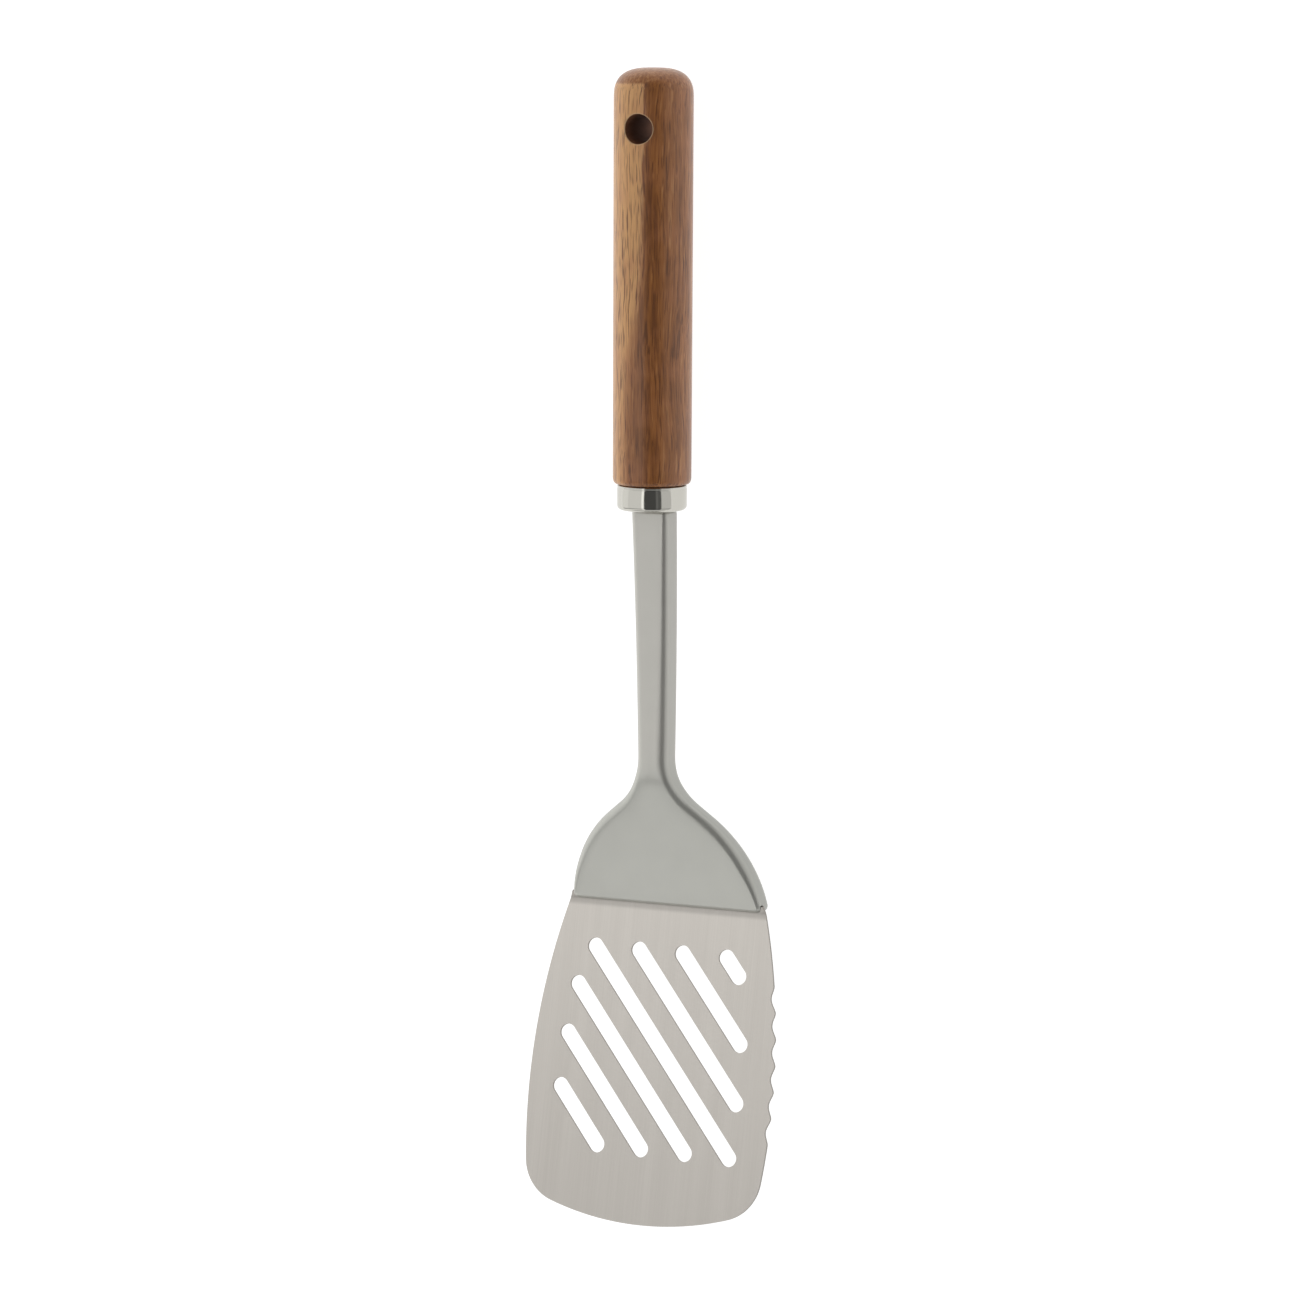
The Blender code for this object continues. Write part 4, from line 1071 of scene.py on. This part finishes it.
# Table, tent and camera
# A pale table in a white tent that is lit from outside, so the table shows white. The tent's roof has a long
# dark opening for the camera, a little to the tool's right, which the ferrule mirrors as a dark band, and a
# duller seam across it, towards the blade's tip.
FLOOR_SIZE = 30.0
FLOOR_DROP = 0.1 * MM
TENT_ACROSS = ((-90, 1.15), (-62, 1.0), (-11, 1.6), (-3, 0.095), (37, 0.205), (44, 0.14), (55, 0.8))
TENT_ALONG = ((-1.0, 0.6), (-0.8, 1.1), (-0.52, 0.45), (-0.3, 1.0), (0.6, 0.6))
TENT_END = 1.0
TENT_SEAM = 0.017
TENT_FOLD = 0.1
OPENING_ENDS = (-0.7, 0.85)


def lit_table():
    """A matt white board that glows a little less towards the tool's right, so it shows evenly white."""
    material = bpy.data.materials.new("pale_lit_table")
    material.use_nodes = True
    shader = material.node_tree.nodes["Principled BSDF"]
    shader.inputs["Base Color"].default_value = linear("#949494")
    shader.inputs["Roughness"].default_value = 0.9
    shader.inputs["Emission Color"].default_value = linear("#ffffff")
    place = add_node(material.node_tree, "ShaderNodeTexCoord")
    across = add_node(material.node_tree, "ShaderNodeSeparateXYZ", {0: place.outputs["Object"]})
    glow = add_node(material.node_tree, "ShaderNodeMapRange", {
        "Value": across.outputs["X"], "From Min": -0.3, "From Max": 0.1, "To Min": 1.05, "To Max": 0.91})
    material.node_tree.links.new(glow.outputs[0], shader.inputs["Emission Strength"])
    return material


half = FLOOR_SIZE / 2
floor_mesh = bpy.data.meshes.new("floor")
corners = [(-half, -half, 0), (half, -half, 0), (half, half, 0), (-half, half, 0)]
floor_mesh.from_pydata(corners, [], [(0, 1, 2, 3)])
floor_mesh.materials.append(lit_table())
floor = add_object("floor", floor_mesh)
floor.location.z = -FLOOR_DROP


def zones(tree, place, low, high, steps, seam):
    """A brightness in steps, each given by where it starts, with a short blend between them. place runs from
    low to high, and seam is half of the blend's length in shares of that."""
    share = add_node(tree, "ShaderNodeMapRange", {"Value": place, "From Min": low, "From Max": high})
    ramp = add_node(tree, "ShaderNodeValToRGB", {0: share})
    elements = ramp.color_ramp.elements
    elements.remove(elements[1])
    elements[0].color = (steps[0][1], steps[0][1], steps[0][1], 1.0)
    for (_, before), (start, after) in zip(steps, steps[1:]):
        middle = (start - low) / (high - low)
        elements.new(middle - seam).color = (before, before, before, 1.0)
        elements.new(middle + seam).color = (after, after, after, 1.0)
    return ramp


def tent_light():
    """The tent as a world: its brightness by the angle from straight above towards the tool's right, in
    degrees, and by how far a direction points along the tool, from -1 past the tip to 1 past the butt."""
    world = bpy.data.worlds.new("white_tent")
    world.use_nodes = True
    tree = world.node_tree
    place = add_node(tree, "ShaderNodeTexCoord")
    xyz = add_node(tree, "ShaderNodeSeparateXYZ", {0: place.outputs["Generated"]})
    angle = add_node(tree, "ShaderNodeMath", {0: xyz.outputs["X"], 1: xyz.outputs["Z"]}, operation="ARCTAN2")
    angle = add_node(tree, "ShaderNodeMath", {0: angle}, operation="DEGREES")
    across = zones(tree, angle, -90, 90, TENT_ACROSS, TENT_SEAM / 2)
    middle = sum(OPENING_ENDS) / 2
    reach = OPENING_ENDS[1] - middle
    from_middle = add_node(tree, "ShaderNodeMath", {0: xyz.outputs["Y"], 1: middle}, operation="SUBTRACT")
    from_middle = add_node(tree, "ShaderNodeMath", {0: from_middle}, operation="ABSOLUTE")
    past_end = add_node(tree, "ShaderNodeMapRange", {
        "Value": from_middle, "From Min": reach - TENT_FOLD, "From Max": reach + TENT_FOLD},
        interpolation_type="SMOOTHSTEP")
    roof = add_node(tree, "ShaderNodeMix", {
        0: past_end, 6: across, 7: (TENT_END, TENT_END, TENT_END, 1.0)}, data_type="RGBA")
    along = zones(tree, xyz.outputs["Y"], -1, 1, TENT_ALONG, TENT_FOLD / 4)
    light = add_node(tree, "ShaderNodeMix", {0: 1.0, 6: roof.outputs[2], 7: along},
                     data_type="RGBA", blend_type="MULTIPLY")
    tree.links.new(light.outputs[2], tree.nodes["Background"].inputs["Color"])
    return world


bpy.context.scene.world = tent_light()

CAMERA_ROUND = math.radians(23.833)
CAMERA_BACK = math.radians(7.967)
CAMERA_ROLL = math.radians(0.248)
CAMERA_DISTANCE = 1.5
CAMERA_TARGET = Vector((-0.45 * MM, -180.244 * MM, 0.0))
FIELD_WIDTH = 404.98 * MM


def photo_camera():
    """The photograph's camera: round to the tool's right from straight above, and back towards its butt."""
    away = Vector((math.sin(CAMERA_ROUND) * math.cos(CAMERA_BACK), math.sin(CAMERA_BACK),
                   math.cos(CAMERA_ROUND) * math.cos(CAMERA_BACK)))
    right = Vector((math.cos(CAMERA_ROUND), 0.0, -math.sin(CAMERA_ROUND)))
    axes = Matrix((right, away.cross(right), away)).transposed().to_4x4()
    data = bpy.data.cameras.new("camera")
    data.lens = data.sensor_width * CAMERA_DISTANCE / FIELD_WIDTH
    camera = add_object("camera", data)
    camera.matrix_world = (LIE @ Matrix.Translation(CAMERA_TARGET + away * CAMERA_DISTANCE) @ axes
                           @ Matrix.Rotation(CAMERA_ROLL, 4, "Z"))
    return camera


bpy.context.scene.camera = photo_camera()
bpy.context.scene.view_settings.view_transform = "Standard"
